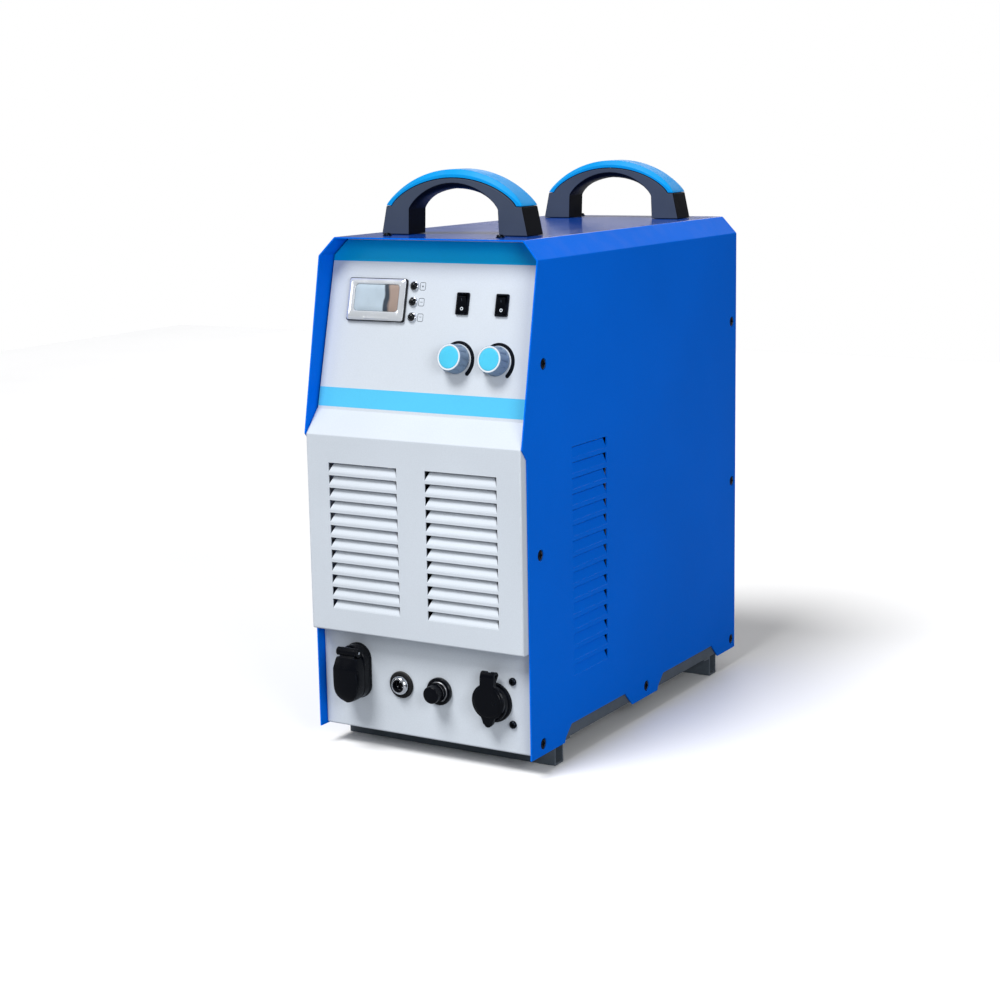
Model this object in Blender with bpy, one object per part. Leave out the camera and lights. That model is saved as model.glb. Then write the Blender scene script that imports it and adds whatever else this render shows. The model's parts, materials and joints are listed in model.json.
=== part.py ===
"""Air plasma cutter power unit: folded steel case, front controls, output sockets and rear services.

Dimensions are in millimetres. Case coordinates: X to the right seen from the front, Y rearwards from the
cover's lower front edge, Z upwards from the cover's lower edge. The case frame stands the unit on the
floor, centred on the origin. Parts on a panel use that panel's frame: X and Y in its face, Z outwards.
"""

import math

import bmesh
import bpy
from mathutils import Matrix, Vector

MM = 0.001
GAP = 0.3

# Case
WIDTH = 243.0
HEIGHT = 482.0
DEPTH = 460.0
SHEET = 1.5
CHAMFER_X = 16.6
CHAMFER_Z = 17.7
FLOOR_GAP = 19.0
TOP_SETBACK = 27.6
NOSE_Y, NOSE_Z = -9.0, 296.0
NOSE_FOOT_Z = 285.0
NOTCHES = ((64.0, 207.0), (264.0, 415.0))
NOTCH_HEIGHT = 15.5
SIDE_SCREWS = ((22, 193), (23, 11), (32, 370), (239, 11.5), (451, 11), (451, 192), (449, 369))
SCREW_HOLE = 2.2
SCREW_SHANK = 1.5

# Front panel, in case coordinates (Y, Z)
SOCKET_PANEL_Y = 9.7
LOUVER_BOTTOM_Z = 102.8
BEND_Y, BEND_Z = 10.1, 317.9
PANEL_TILT = 14.0
PANEL_TOP_Z = 480.2
PANEL_TOP_Y = BEND_Y + (PANEL_TOP_Z - BEND_Z) * math.tan(math.radians(PANEL_TILT))
PANEL_FOOT_Z = 1.2
RETURN_Y = 31.5
TOP_FLANGE_Y = 68.0

# Louvers: along the slot, lowest slot's top edge upwards
SLOT_LEAN = 4.3
SLOT_TAPER = 4.0
FRONT_SLOTS = {"count": 12, "top": 269.3, "pitch": 12.22, "height": 9.0}
FRONT_COLUMNS = ((-94.4, -16.2), (15.3, 93.6))
SIDE_SLOTS = {"count": 15, "top": 285.4, "pitch": 15.2, "height": 10.5}
SIDE_COLUMN = (84.0, 154.0)

# Base and chassis
TRAY_FRONT, TRAY_REAR = 32.0, 439.0
TRAY_BOTTOM, TRAY_TOP = 3.0, 22.0
TRAY_FLOOR = TRAY_BOTTOM + SHEET + GAP
SHELF_HALF, SHELF_TOP = 112.0, 259.5
SHELF_FRONT, SHELF_REAR = 170.0, 400.0
FOOT_CENTRES = (56.0, 406.0)
FOOT_HALF = 8.2
FOOT_FLANGE = 22.0
FOOT_SHEET = 2.0
FOOT_BOLT_X = 62.0
FOOT_BOLT_Y = 15.0

# Rear panel
REAR_FACE = 457.5
REAR_FLANGE = 18.0
AIR_INLET_LENGTH = 24.0

# Handles, in case coordinates (X, Z above the cover)
HANDLE_FRONTS = (75.2, 395.9)
HANDLE_DEPTH = 30.0
HANDLE_HALF = 81.8
HANDLE_SHOULDER = (75.8, 28.3)
HANDLE_OPENING = (50.4, 49.5, 24.0)
CROWN_TOP, CROWN_SEAM, CROWN_INNER = 62.0, 54.0, 49.0
HANDLE_BOLT_X = 65.0

# Controls: panel coordinates (X, distance up the slope)
METER = (-62.0, 107.6)
METER_WINDOW = (-61.3, 109.2)
INDICATORS = ((-21.5, 122.0), (-21.3, 107.0), (-20.8, 92.3))
SWITCHES = {"mode": (34.0, 106.9), "test": (76.7, 106.7)}
KNOBS = {"current": (33.6, 54.8), "time": (77.0, 54.8)}
ROCKER_TILT = 12.0
KNOB_START = 225.0
KNOB_SEGMENTS = 20

# Sockets: panel coordinates (X, Z)
TORCH = (-79.0, 60.7)
TORCH_HALF = (15.3, 28.0)
TORCH_BODY_DEPTH = 12.0
TORCH_PIN = (22.0, 17.0)
TORCH_LID_FRONT = 26.5
EARTH = (76.0, 49.5)
EARTH_PIN = (27.5, 9.0)
CONTROL = (-28.7, 52.3)
REGULATOR = (15.5, 51.9)
PANEL_SCREWS = ((96.7, 71.9), (96.5, 29.9))
TOP_SCREWS = ((63.0, 57.0), (63.0, 447.0))

# Rear services: rear panel coordinates (X leftwards in the case, Z)
FAN = (0.0, 330.0)
FAN_HALF = 86.0
FAN_SCREW = 76.0
FAN_DEPTH = 40.0
DUCT_RADIUS = 76.0
GUARD_LIFT = 1.6
GUARD_WIRE = 1.6
BREAKER = (62.0, 160.0)
LEVER_TILT = 35.0
GLAND = (75.0, 60.0)
AIR_INLET = (-75.0, 60.0)
EARTH_STUD = (0.0, 40.0)

CASE_CENTRE_Y = (SOCKET_PANEL_Y - TORCH_LID_FRONT + REAR_FACE + AIR_INLET_LENGTH) / 2

FINISHES = {
    "blue_paint": ((0.0, 0.105, 0.578), 0.35, 0.0),
    "grey_paint": ((0.62, 0.68, 0.74), 0.45, 0.0),
    "base_grey": ((0.10, 0.11, 0.12), 0.55, 0.2),
    "zinc_steel": ((0.55, 0.56, 0.58), 0.35, 0.9),
    "black_screw": ((0.015, 0.016, 0.02), 0.4, 0.4),
    "handle_black": ((0.06, 0.075, 0.1), 0.55, 0.0),
    "handle_blue": ((0.0, 0.32, 0.86), 0.4, 0.0),
    "clear_frame": ((0.75, 0.79, 0.83), 0.2, 0.0),
    "meter_window": ((0.35, 0.37, 0.4), 0.08, 0.0),
    "chrome": ((0.75, 0.77, 0.8), 0.12, 1.0),
    "black_plastic": ((0.012, 0.014, 0.018), 0.45, 0.0),
    "knob_grey": ((0.22, 0.3, 0.4), 0.45, 0.0),
    "knob_cyan": ((0.1, 0.55, 0.9), 0.4, 0.0),
    "brass": ((0.8, 0.58, 0.24), 0.3, 1.0),
    "rubber": ((0.02, 0.02, 0.022), 0.7, 0.0),
    "aluminium": ((0.7, 0.71, 0.73), 0.4, 1.0),
    "circuit_green": ((0.02, 0.16, 0.06), 0.5, 0.0),
    "copper": ((0.7, 0.32, 0.15), 0.35, 1.0),
    "hose_blue": ((0.02, 0.12, 0.5), 0.45, 0.0),
}


# Scene helpers ---------------------------------------------------------------------------------------


def clear_scene():
    for obj in list(bpy.data.objects):
        bpy.data.objects.remove(obj, do_unlink=True)


def mm(*values):
    return Vector(values) * MM


def finish_material(name):
    if name in bpy.data.materials:
        return bpy.data.materials[name]
    colour, roughness, metallic = FINISHES[name]
    made = bpy.data.materials.new(name)
    made.use_nodes = True
    shader = made.node_tree.nodes["Principled BSDF"]
    shader.inputs["Base Color"].default_value = (*colour, 1.0)
    shader.inputs["Roughness"].default_value = roughness
    shader.inputs["Metallic"].default_value = metallic
    made.diffuse_color = (*colour, 1.0)
    return made


def frame(name, parent=None, location=(0, 0, 0), rotation=(0, 0, 0)):
    made = bpy.data.objects.new(name, None)
    bpy.context.scene.collection.objects.link(made)
    made.parent = parent
    made.location = mm(*location)
    made.rotation_euler = [math.radians(angle) for angle in rotation]
    return made


def finish(name, solid, material, parent, location=(0, 0, 0), rotation=(0, 0, 0)):
    """Links the modelled solid as an object, in metres, with outward faces and smooth round sides."""
    bmesh.ops.recalc_face_normals(solid, faces=solid.faces)
    solid.transform(Matrix.Scale(MM, 4))
    mesh = bpy.data.meshes.new(name)
    solid.to_mesh(mesh)
    solid.free()
    if material:
        mesh.materials.append(finish_material(material))
    mesh.shade_smooth()
    mesh.set_sharp_from_angle(angle=math.radians(35))
    made = bpy.data.objects.new(name, mesh)
    bpy.context.scene.collection.objects.link(made)
    made.parent = parent
    made.location = mm(*location)
    made.rotation_euler = [math.radians(angle) for angle in rotation]
    return made


def tool(name, solid, parent, location=(0, 0, 0), rotation=(0, 0, 0)):
    """A helper solid for a Boolean, which isn't a part."""
    made = finish(name, solid, None, parent, location, rotation)
    made.hide_render = True
    made.display_type = "WIRE"
    return made


def boolean(target, operation, other):
    modifier = target.modifiers.new(operation.lower() + "_" + other.name, "BOOLEAN")
    modifier.operation = operation
    modifier.object = other


# Solid helpers, which all add closed solids to a bmesh ------------------------------------------------


def add_loops(solid, loops, closed=False):
    """Joins loops of points one to the next. A loop of one point is a tip, and open ends are capped."""
    rings = [[solid.verts.new(point) for point in loop] for loop in loops]
    pairs = list(zip(rings, rings[1:]))
    if closed:
        pairs.append((rings[-1], rings[0]))
    for first, second in pairs:
        for i in range(max(len(first), len(second))):
            corners = [first[i % len(first)], first[(i + 1) % len(first)]]
            corners += [second[(i + 1) % len(second)], second[i % len(second)]]
            corners = list(dict.fromkeys(corners))
            if len(corners) > 2:
                solid.faces.new(corners)
    if not closed:
        for ring in (rings[0], rings[-1]):
            if len(ring) > 2:
                solid.faces.new(ring)


def oval(half_x, half_y, z, segments, centre=(0, 0)):
    if half_x == 0:
        return [(centre[0], centre[1], z)]
    angles = [math.tau * i / segments for i in range(segments)]
    return [(centre[0] + half_x * math.cos(a), centre[1] + half_y * math.sin(a), z) for a in angles]


def square(half, z, segments, centre=(0, 0)):
    """Points round a square, one for each of the same angles as oval has."""
    points = []
    for i in range(segments):
        x, y = math.cos(math.tau * i / segments), math.sin(math.tau * i / segments)
        reach = half / max(abs(x), abs(y))
        points.append((centre[0] + reach * x, centre[1] + reach * y, z))
    return points


def stadium(half_x, half_y, z, segments):
    """An upright outline with round ends."""
    straight = half_y - half_x
    points = []
    for x, y, _ in oval(half_x, half_x, z, segments):
        points.append((x, y + math.copysign(straight, y), z))
    return points


def rectangle(half_x, half_y, z, centre=(0, 0)):
    x, y = centre
    return [(x + i * half_x, y + j * half_y, z) for i, j in ((-1, -1), (1, -1), (1, 1), (-1, 1))]


def add_turned(solid, profile, segments=24, centre=(0, 0), closed=False):
    """Turns (radius, height) points about Z. A closed profile makes a ring with an open bore."""
    add_loops(solid, [oval(r, r, z, segments, centre) for r, z in profile], closed)


def add_prism(solid, outline, low, high, axis="Z"):
    """Extrudes a closed outline of (Y, Z), (X, Z) or (X, Y) points along the axis X, Y or Z."""
    place = {
        "X": lambda u, v, w: (w, u, v),
        "Y": lambda u, v, w: (u, w, v),
        "Z": lambda u, v, w: (u, v, w),
    }[axis]
    add_loops(solid, [[place(u, v, w) for u, v in outline] for w in (low, high)])


def add_box(solid, low, high):
    centre = ((low[0] + high[0]) / 2, (low[1] + high[1]) / 2)
    half = ((high[0] - low[0]) / 2, (high[1] - low[1]) / 2)
    add_loops(solid, [rectangle(*half, z, centre) for z in (low[2], high[2])])


def arc(centre, radius, start, end, steps):
    """Points on a circle from one angle to another, in degrees."""
    angles = [math.radians(start + (end - start) * i / steps) for i in range(steps + 1)]
    return [(centre[0] + radius * math.cos(a), centre[1] + radius * math.sin(a)) for a in angles]


def crown(half, shoulder, top, steps):
    """An arched outline from the right shoulder over the top to the left one."""
    rise = top - shoulder
    radius = (half * half + rise * rise) / (2 * rise)
    spread = math.degrees(math.asin(half / radius))
    return arc((0, top - radius), radius, 90 - spread, 90 + spread, steps)


def offset_path(points, distance):
    """The path moved to the right of its direction, with mitred corners."""
    lines = []
    for (ax, ay), (bx, by) in zip(points, points[1:]):
        length = math.hypot(bx - ax, by - ay)
        dx, dy = (bx - ax) / length, (by - ay) / length
        lines.append(((ax + dy * distance, ay - dx * distance), (dx, dy), length))
    moved = [lines[0][0]]
    for ((px, py), (dx, dy), _), ((qx, qy), (ex, ey), _) in zip(lines, lines[1:]):
        along = ((qx - px) * ey - (qy - py) * ex) / (dx * ey - dy * ex)
        moved.append((px + along * dx, py + along * dy))
    (px, py), (dx, dy), length = lines[-1]
    return moved + [(px + dx * length, py + dy * length)]


# Case sheet metal --------------------------------------------------------------------------------------


def case_path(inset):
    """The cover's outer cross-section (X, Z) moved inwards, from the lower left up and over."""
    half, shoulder = WIDTH / 2, HEIGHT - CHAMFER_Z
    outer = [(-half, 0), (-half, shoulder), (-half + CHAMFER_X, HEIGHT)]
    outer += [(-x, z) for x, z in reversed(outer)]
    return offset_path(outer, inset)


def cover_side_outline():
    """The cover seen from the side (Y, Z): sloping front edge, nose, and two notches in the lower edge."""
    front = [(0, 0), (0, NOSE_FOOT_Z), (NOSE_Y, NOSE_Z), (TOP_SETBACK, HEIGHT)]
    lower = [(DEPTH, HEIGHT), (DEPTH, 0)]
    for start, end in reversed(NOTCHES):
        lower += [(end, 0), (end - 16, NOTCH_HEIGHT), (start + 14, NOTCH_HEIGHT)]
        lower += [(start + 2.4, 5), (start, 0)]
    return front + lower


def front_path():
    """The front panel's outer face seen from the side (Y, Z), from the lower flange up to the top one."""
    return [
        (RETURN_Y, PANEL_FOOT_Z),
        (SOCKET_PANEL_Y, PANEL_FOOT_Z),
        (SOCKET_PANEL_Y, LOUVER_BOTTOM_Z),
        (NOSE_Y, LOUVER_BOTTOM_Z),
        (NOSE_Y, NOSE_Z),
        (BEND_Y, BEND_Z),
        (PANEL_TOP_Y, PANEL_TOP_Z),
        (TOP_FLANGE_Y, PANEL_TOP_Z),
    ]


def add_slot(solid, place, start, end, top, height):
    """The opening of a louver, through the sheet."""
    corners = ((start, top - height), (end, top - height), (end, top), (start, top))
    add_loops(solid, [[place(u, v, w) for u, v in corners] for w in (-3, 3)])


def add_blade(solid, place, start, end, top, height):
    """A louver's blade: joined to the sheet along the bottom, leaning inwards to a narrower top edge."""
    root, tip = top - height - 0.8, top - 1.0
    near, far = 0.15, 1.3
    ends = start + SLOT_TAPER, end - SLOT_TAPER
    bottom = [place(u, root, w) for u, w in ((start, near), (end, near), (end, far), (start, far))]
    leaned = ((ends[0], near), (ends[1], near), (ends[1], far), (ends[0], far))
    add_loops(solid, [bottom, [place(u, tip, w + SLOT_LEAN) for u, w in leaned]])


def louver_tools(name, parent, slots, columns):
    """The openings and the blades of columns of louvers. Each column is (place, start, end)."""
    openings, blades = bmesh.new(), bmesh.new()
    for place, start, end in columns:
        for i in range(slots["count"]):
            top = slots["top"] - slots["pitch"] * i
            add_slot(openings, place, start, end, top, slots["height"])
            add_blade(blades, place, start + 0.4, end - 0.4, top, slots["height"])
    return tool(name + "_slots", openings, parent), tool(name + "_blades", blades, parent)


def side_screw_holes(case):
    holes = bmesh.new()
    for y, z in SIDE_SCREWS:
        outline = [(y + u, z + v) for u, v, _ in oval(SCREW_HOLE, SCREW_HOLE, 0, 8)]
        for side in (-1, 1):
            ends = sorted((side * (WIDTH / 2 + 4), side * (WIDTH / 2 - 8)))
            add_prism(holes, outline, *ends, "X")
    return tool("side_screw_holes", holes, case)


def top_holes(case):
    """Holes through the cover's top for the top screws and the handle bolts."""
    holes = bmesh.new()
    for side in (-1, 1):
        for x, y in TOP_SCREWS:
            add_turned(holes, [(SCREW_HOLE, HEIGHT - 8), (SCREW_HOLE, HEIGHT + 4)], 8, (side * x, y))
        for y in HANDLE_FRONTS:
            centre = (side * HANDLE_BOLT_X, y + HANDLE_DEPTH / 2)
            add_turned(holes, [(3.6, HEIGHT - 8), (3.6, HEIGHT + 4)], 10, centre)
    return tool("top_holes", holes, case)


def make_wrap_cover(case, screw_holes, upper_holes):
    shell = bmesh.new()
    add_prism(shell, case_path(0) + case_path(SHEET)[::-1], NOSE_Y - 1, DEPTH + 1, "Y")
    cover = finish("wrap_cover", shell, "blue_paint", case)
    side = bmesh.new()
    add_prism(side, cover_side_outline(), -WIDTH, WIDTH, "X")
    boolean(cover, "INTERSECT", tool("cover_side_shape", side, case))
    half = WIDTH / 2
    columns = [
        (lambda u, v, w: (half - w, u, v), *SIDE_COLUMN),
        (lambda u, v, w: (w - half, u, v), *SIDE_COLUMN),
    ]
    slots, blades = louver_tools("side_louver", case, SIDE_SLOTS, columns)
    boolean(cover, "DIFFERENCE", slots)
    boolean(cover, "UNION", blades)
    boolean(cover, "DIFFERENCE", screw_holes)
    boolean(cover, "DIFFERENCE", upper_holes)


def case_core(name, case, inset):
    """A solid that fills the case to within the given distance of its outer faces."""
    core = bmesh.new()
    path = case_path(inset)
    outline = [(path[0][0], -10)] + path[1:-1] + [(path[-1][0], -10)]
    add_prism(core, outline, -40, DEPTH, "Y")
    return tool(name, core, case)


def control_holes(controls):
    holes = bmesh.new()
    add_loops(holes, [rectangle(31.0, 18.8, z, METER) for z in (-9, 6)])
    for centre in INDICATORS:
        add_turned(holes, [(4.4, -9), (4.4, 6)], 16, centre)
    for centre in SWITCHES.values():
        add_loops(holes, [rectangle(6.1, 9.6, z, centre) for z in (-9, 6)])
    for centre in KNOBS.values():
        add_turned(holes, [(4.0, -9), (4.0, 6)], 12, centre)
    return tool("control_holes", holes, controls)


def socket_holes(sockets):
    holes = bmesh.new()
    sizes = ((TORCH, 13.6), (EARTH, 12.6), (CONTROL, 10.1), (REGULATOR, 10.6))
    for centre, radius in sizes:
        add_turned(holes, [(radius, -6), (radius, 6)], 24, centre)
    for centre in PANEL_SCREWS:
        add_turned(holes, [(SCREW_HOLE, -6), (SCREW_HOLE, 6)], 8, centre)
    return tool("socket_holes", holes, sockets)


def make_front_panel(case, controls, sockets, screw_holes, upper_holes):
    path = front_path()
    body = bmesh.new()
    add_prism(body, path + [(RETURN_Y, BEND_Z)], -WIDTH, WIDTH, "X")
    panel = finish("front_panel", body, "grey_paint", case)
    boolean(panel, "INTERSECT", case_core("panel_limit", case, SHEET + GAP))
    hollow = bmesh.new()
    inner = offset_path(path, SHEET)
    back = 2 * TOP_FLANGE_Y
    outline = [(back, inner[0][1])] + inner[1:-1] + [(back, inner[-1][1])]
    add_prism(hollow, outline, -WIDTH, WIDTH, "X")
    hollow = tool("front_panel_hollow", hollow, case)
    boolean(hollow, "INTERSECT", case_core("hollow_limit", case, 2 * SHEET + GAP))
    boolean(panel, "DIFFERENCE", hollow)
    columns = [(lambda u, v, w: (u, NOSE_Y + w, v), *column) for column in FRONT_COLUMNS]
    slots, blades = louver_tools("front_louver", case, FRONT_SLOTS, columns)
    boolean(panel, "DIFFERENCE", slots)
    boolean(panel, "UNION", blades)
    for holes in (control_holes(controls), socket_holes(sockets), screw_holes, upper_holes):
        boolean(panel, "DIFFERENCE", holes)


def make_rear_panel(case, rear, screw_holes, upper_holes):
    """A flat plate with a flange all round, folded towards the front."""
    outer = [(path_x, z) for path_x, z in case_path(SHEET + GAP)]
    inner = [(path_x, z) for path_x, z in case_path(2 * SHEET + GAP)]
    for path, foot in ((outer, PANEL_FOOT_Z), (inner, PANEL_FOOT_Z + SHEET)):
        path[0], path[-1] = (path[0][0], foot), (path[-1][0], foot)
    plate = bmesh.new()
    loops = []
    for path, z in ((outer, 0), (outer, -REAR_FLANGE), (inner, -REAR_FLANGE), (inner, -SHEET)):
        loops.append([(x, height, z) for x, height in path])
    add_loops(plate, loops)
    panel = finish("rear_panel", plate, "grey_paint", rear)
    holes = bmesh.new()
    add_turned(holes, [(DUCT_RADIUS - 1, -6), (DUCT_RADIUS - 1, 6)], 32, FAN)
    for x in (-FAN_SCREW, FAN_SCREW):
        for y in (-FAN_SCREW, FAN_SCREW):
            centre = (FAN[0] + x, FAN[1] + y)
            add_turned(holes, [(SCREW_HOLE, -6), (SCREW_HOLE, 6)], 8, centre)
    add_loops(holes, [rectangle(27.5, 23.0, z, BREAKER) for z in (-6, 6)])
    for centre, radius in ((GLAND, 12.2), (AIR_INLET, 6.6), (EARTH_STUD, 3.4)):
        add_turned(holes, [(radius, -6), (radius, 6)], 16, centre)
    boolean(panel, "DIFFERENCE", tool("rear_holes", holes, rear))
    boolean(panel, "DIFFERENCE", screw_holes)
    boolean(panel, "DIFFERENCE", upper_holes)


def make_base_tray(case, screw_holes, bolt_holes):
    half = WIDTH / 2 - SHEET - GAP
    centre = (0, (TRAY_FRONT + TRAY_REAR) / 2)
    length = (TRAY_REAR - TRAY_FRONT) / 2
    steps = ((0, TRAY_BOTTOM), (0, TRAY_TOP), (SHEET, TRAY_TOP), (SHEET, TRAY_BOTTOM + SHEET))
    tray = bmesh.new()
    add_loops(tray, [rectangle(half - i, length - i, z, centre) for i, z in steps])
    tray = finish("base_tray", tray, "base_grey", case)
    boolean(tray, "DIFFERENCE", screw_holes)
    boolean(tray, "DIFFERENCE", bolt_holes)


def foot_bolt_places():
    places = []
    for foot in FOOT_CENTRES:
        for x in (-FOOT_BOLT_X, FOOT_BOLT_X):
            places += [(x, foot - FOOT_BOLT_Y), (x, foot + FOOT_BOLT_Y)]
    return places


def foot_bolt_holes(case):
    holes = bmesh.new()
    for place in foot_bolt_places():
        add_turned(holes, [(2.7, -4), (2.7, 8)], 8, place)
    return tool("foot_bolt_holes", holes, case)


def make_foot(name, case, centre, bolt_holes):
    """A top-hat channel across the base, open at its ends."""
    top, step, floor = TRAY_BOTTOM - GAP, FOOT_SHEET, -FLOOR_GAP
    half = [
        (FOOT_HALF, floor),
        (FOOT_HALF, top - step),
        (FOOT_FLANGE, top - step),
        (FOOT_FLANGE, top),
        (FOOT_HALF - step, top),
        (FOOT_HALF - step, floor + step),
    ]
    outline = [(centre + y, z) for y, z in half] + [(centre - y, z) for y, z in reversed(half)]
    foot = bmesh.new()
    add_prism(foot, outline, -WIDTH / 2 + 2, WIDTH / 2 - 2, "X")
    foot = finish(name, foot, "base_grey", case)
    boolean(foot, "DIFFERENCE", bolt_holes)


# Fasteners ---------------------------------------------------------------------------------------------


def make_panel_screw(name, sockets, centre):
    """A pan-head screw whose head rests on the face of the socket panel."""
    profile = [(0, -6), (SCREW_SHANK, -6), (SCREW_SHANK, GAP), (3.9, GAP), (3.9, 1.2)]
    screw = bmesh.new()
    add_turned(screw, profile + [(2.9, 2.4), (0, 2.8)], 12)
    finish(name, screw, "black_screw", sockets, (*centre, 0))


# Handles -----------------------------------------------------------------------------------------------


def make_handle(name, case, front):
    """An arched handle: a moulded body with two legs, and a grip strip over its crown."""
    location = (0, front, HEIGHT + GAP)
    shoulder_x, shoulder_z = HANDLE_SHOULDER
    foot_x, inner_x, inner_z = HANDLE_OPENING
    outline = [(HANDLE_HALF, 0), (shoulder_x, shoulder_z - 1)]
    outline += crown(69.5, shoulder_z - 1, CROWN_SEAM, 14)
    outline += [(-shoulder_x, shoulder_z - 1), (-HANDLE_HALF, 0), (-foot_x, 0)]
    outline += crown(inner_x, inner_z, CROWN_INNER, 10)[::-1] + [(foot_x, 0)]
    body = bmesh.new()
    add_prism(body, outline, 0, HANDLE_DEPTH, "Y")
    body = finish(name + "_body", body, "handle_black", case, location)
    bores = bmesh.new()
    for side in (-1, 1):
        bore = [(3.2, -3), (3.2, 18)]
        add_turned(bores, bore, 10, (side * HANDLE_BOLT_X, HANDLE_DEPTH / 2))
    boolean(body, "DIFFERENCE", tool(name + "_bores", bores, case, location))
    strip = crown(shoulder_x, shoulder_z - 1 + GAP, CROWN_TOP, 14)
    strip += crown(69.5 + GAP, shoulder_z - 1 + GAP, CROWN_SEAM + GAP, 14)[::-1]
    grip = bmesh.new()
    add_prism(grip, strip, 0, HANDLE_DEPTH, "Y")
    finish(name + "_grip", grip, "handle_blue", case, location)


# Controls ----------------------------------------------------------------------------------------------


def make_meter(controls):
    bezel = bmesh.new()
    loops = [rectangle(33.0, 20.75, z, METER) for z in (GAP, 4.0)]
    loops.append(rectangle(31.6, 19.3, 5.0, METER))
    loops += [rectangle(25.3, 13.0, z, METER_WINDOW) for z in (5.0, 2.4)]
    loops += [rectangle(28.4, 15.6, 2.4, METER), rectangle(28.4, 16.4, -22, METER)]
    loops += [rectangle(30.2, 18.0, z, METER) for z in (-22, GAP)]
    add_loops(bezel, loops, closed=True)
    finish("meter_bezel", bezel, "clear_frame", controls)
    window = bmesh.new()
    add_loops(window, [rectangle(25.0, 12.7, z, METER_WINDOW) for z in (2.6, 4.2)])
    finish("meter_window", window, "meter_window", controls)


def make_display_board(controls):
    """The circuit board behind the controls, with the meter's module and the three indicator LEDs on it."""
    board = bmesh.new()
    add_loops(board, [rectangle(44.0, 19.0, z, (METER[0] + 11.0, METER[1])) for z in (-25.6, -24.0)])
    board = finish("display_board", board, "circuit_green", controls)
    module = bmesh.new()
    add_loops(module, [rectangle(27.5, 14.8, z, METER) for z in (-24.8, 1.9)])
    boolean(board, "UNION", tool("meter_module", module, controls))
    lenses = bmesh.new()
    lens = [(0, -24.8), (3.0, -24.8), (3.0, 2.6), (2.7, 3.6), (1.6, 4.3), (0, 4.6)]
    for centre in INDICATORS:
        add_turned(lenses, lens, 12, centre)
    boolean(board, "UNION", tool("indicator_lenses", lenses, controls))


def make_led_holder(name, controls, centre):
    holder = bmesh.new()
    ring = [(3.4, 2.0), (3.4, -6), (4.0, -6), (4.0, GAP), (4.7, GAP), (4.7, 1.0), (4.2, 2.0)]
    add_turned(holder, ring, 14, closed=True)
    finish(name, holder, "chrome", controls, (*centre, 0))


def make_switch(name, controls, centre):
    """A rocker switch: a housing clipped in the panel, and a rocker at rest with its lower half in."""
    housing = bmesh.new()
    steps = ((5.7, 9.2, -20), (5.7, 9.2, GAP), (6.7, 10.5, GAP), (6.7, 10.5, 2.0), (6.1, 9.9, 2.4))
    steps += ((4.9, 8.5, 2.4), (4.9, 8.5, -8))
    add_loops(housing, [rectangle(x, y, z, centre) for x, y, z in steps])
    finish(name + "_switch_housing", housing, "black_plastic", controls)
    rocker = bmesh.new()
    face = [(7.4, 0.6), (7.4, 3.4), (3.7, 2.5), (0, 2.2), (-3.7, 2.5), (-7.4, 3.4), (-7.4, 0.6)]
    add_prism(rocker, face + [(-3, -4), (3, -4)], -4.5, 4.5, "X")
    tilt = (ROCKER_TILT, 0, 0)
    finish(name + "_switch_rocker", rocker, "black_plastic", controls, (*centre, 0), tilt)


def make_knob(name, controls, centre):
    """A pointer knob with an inlaid cap, on the shaft of its potentiometer."""
    location = (*centre, 0)
    pot = bmesh.new()
    ring = [(2.6, 6.0), (3.5, 6.0), (3.5, -2.0), (8.4, -2.0), (8.4, -12.0), (2.6, -12.0)]
    add_turned(pot, ring, 12, closed=True)
    finish(name + "_pot", pot, "zinc_steel", controls, location)
    shaft = bmesh.new()
    add_turned(shaft, [(0, -11), (2.0, -11), (2.0, 12.6), (0, 12.6)], 10)
    finish(name + "_pot_shaft", shaft, "zinc_steel", controls, location)
    knob = bmesh.new()
    outside = [(9.6, 0.8), (14.0, 0.8), (13.7, 2.4), (12.9, 13.8), (12.3, 14.6), (11.5, 14.6)]
    inside = [(11.5, 13.0), (2.4, 13.0), (2.4, 6.9), (9.6, 6.9)]
    add_turned(knob, outside + inside, KNOB_SEGMENTS, closed=True)
    for vert in knob.verts:
        angle = math.degrees(math.atan2(vert.co.y, vert.co.x)) % 360
        if vert.co.z < 2.5 and vert.co.xy.length > 13 and abs(angle - KNOB_START) < 180 / KNOB_SEGMENTS:
            vert.co.xy *= 1.16
    finish(name + "_knob", knob, "knob_grey", controls, location)
    cap = bmesh.new()
    add_turned(cap, [(0, 13.3), (11.2, 13.3), (11.2, 14.5), (10.6, 15.0), (0, 15.1)], KNOB_SEGMENTS)
    finish(name + "_knob_cap", cap, "knob_cyan", controls, location)


# Output sockets ----------------------------------------------------------------------------------------


def make_pin(name, sockets, centre, pin, half_length):
    solid = bmesh.new()
    outline = [(pin[0] + u, pin[1] + v) for u, v, _ in oval(1.4, 1.4, 0, 8)]
    add_prism(solid, outline, -half_length, half_length, "X")
    finish(name, solid, "chrome", sockets, (*centre, 0))


def pin_bore(name, sockets, location, pin, half_length):
    solid = bmesh.new()
    outline = [(pin[0] + u, pin[1] + v) for u, v, _ in oval(1.9, 1.9, 0, 12)]
    add_prism(solid, outline, -half_length, half_length, "X")
    return tool(name, solid, sockets, location)


def lug_outline(pin, radius, inner_root, outer_root):
    """A hinge lug from the side (Z, outwards): a web that leaves the body at two points for a round head."""
    return [inner_root] + arc(pin, radius, 180, -20, 7) + [outer_root]


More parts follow.
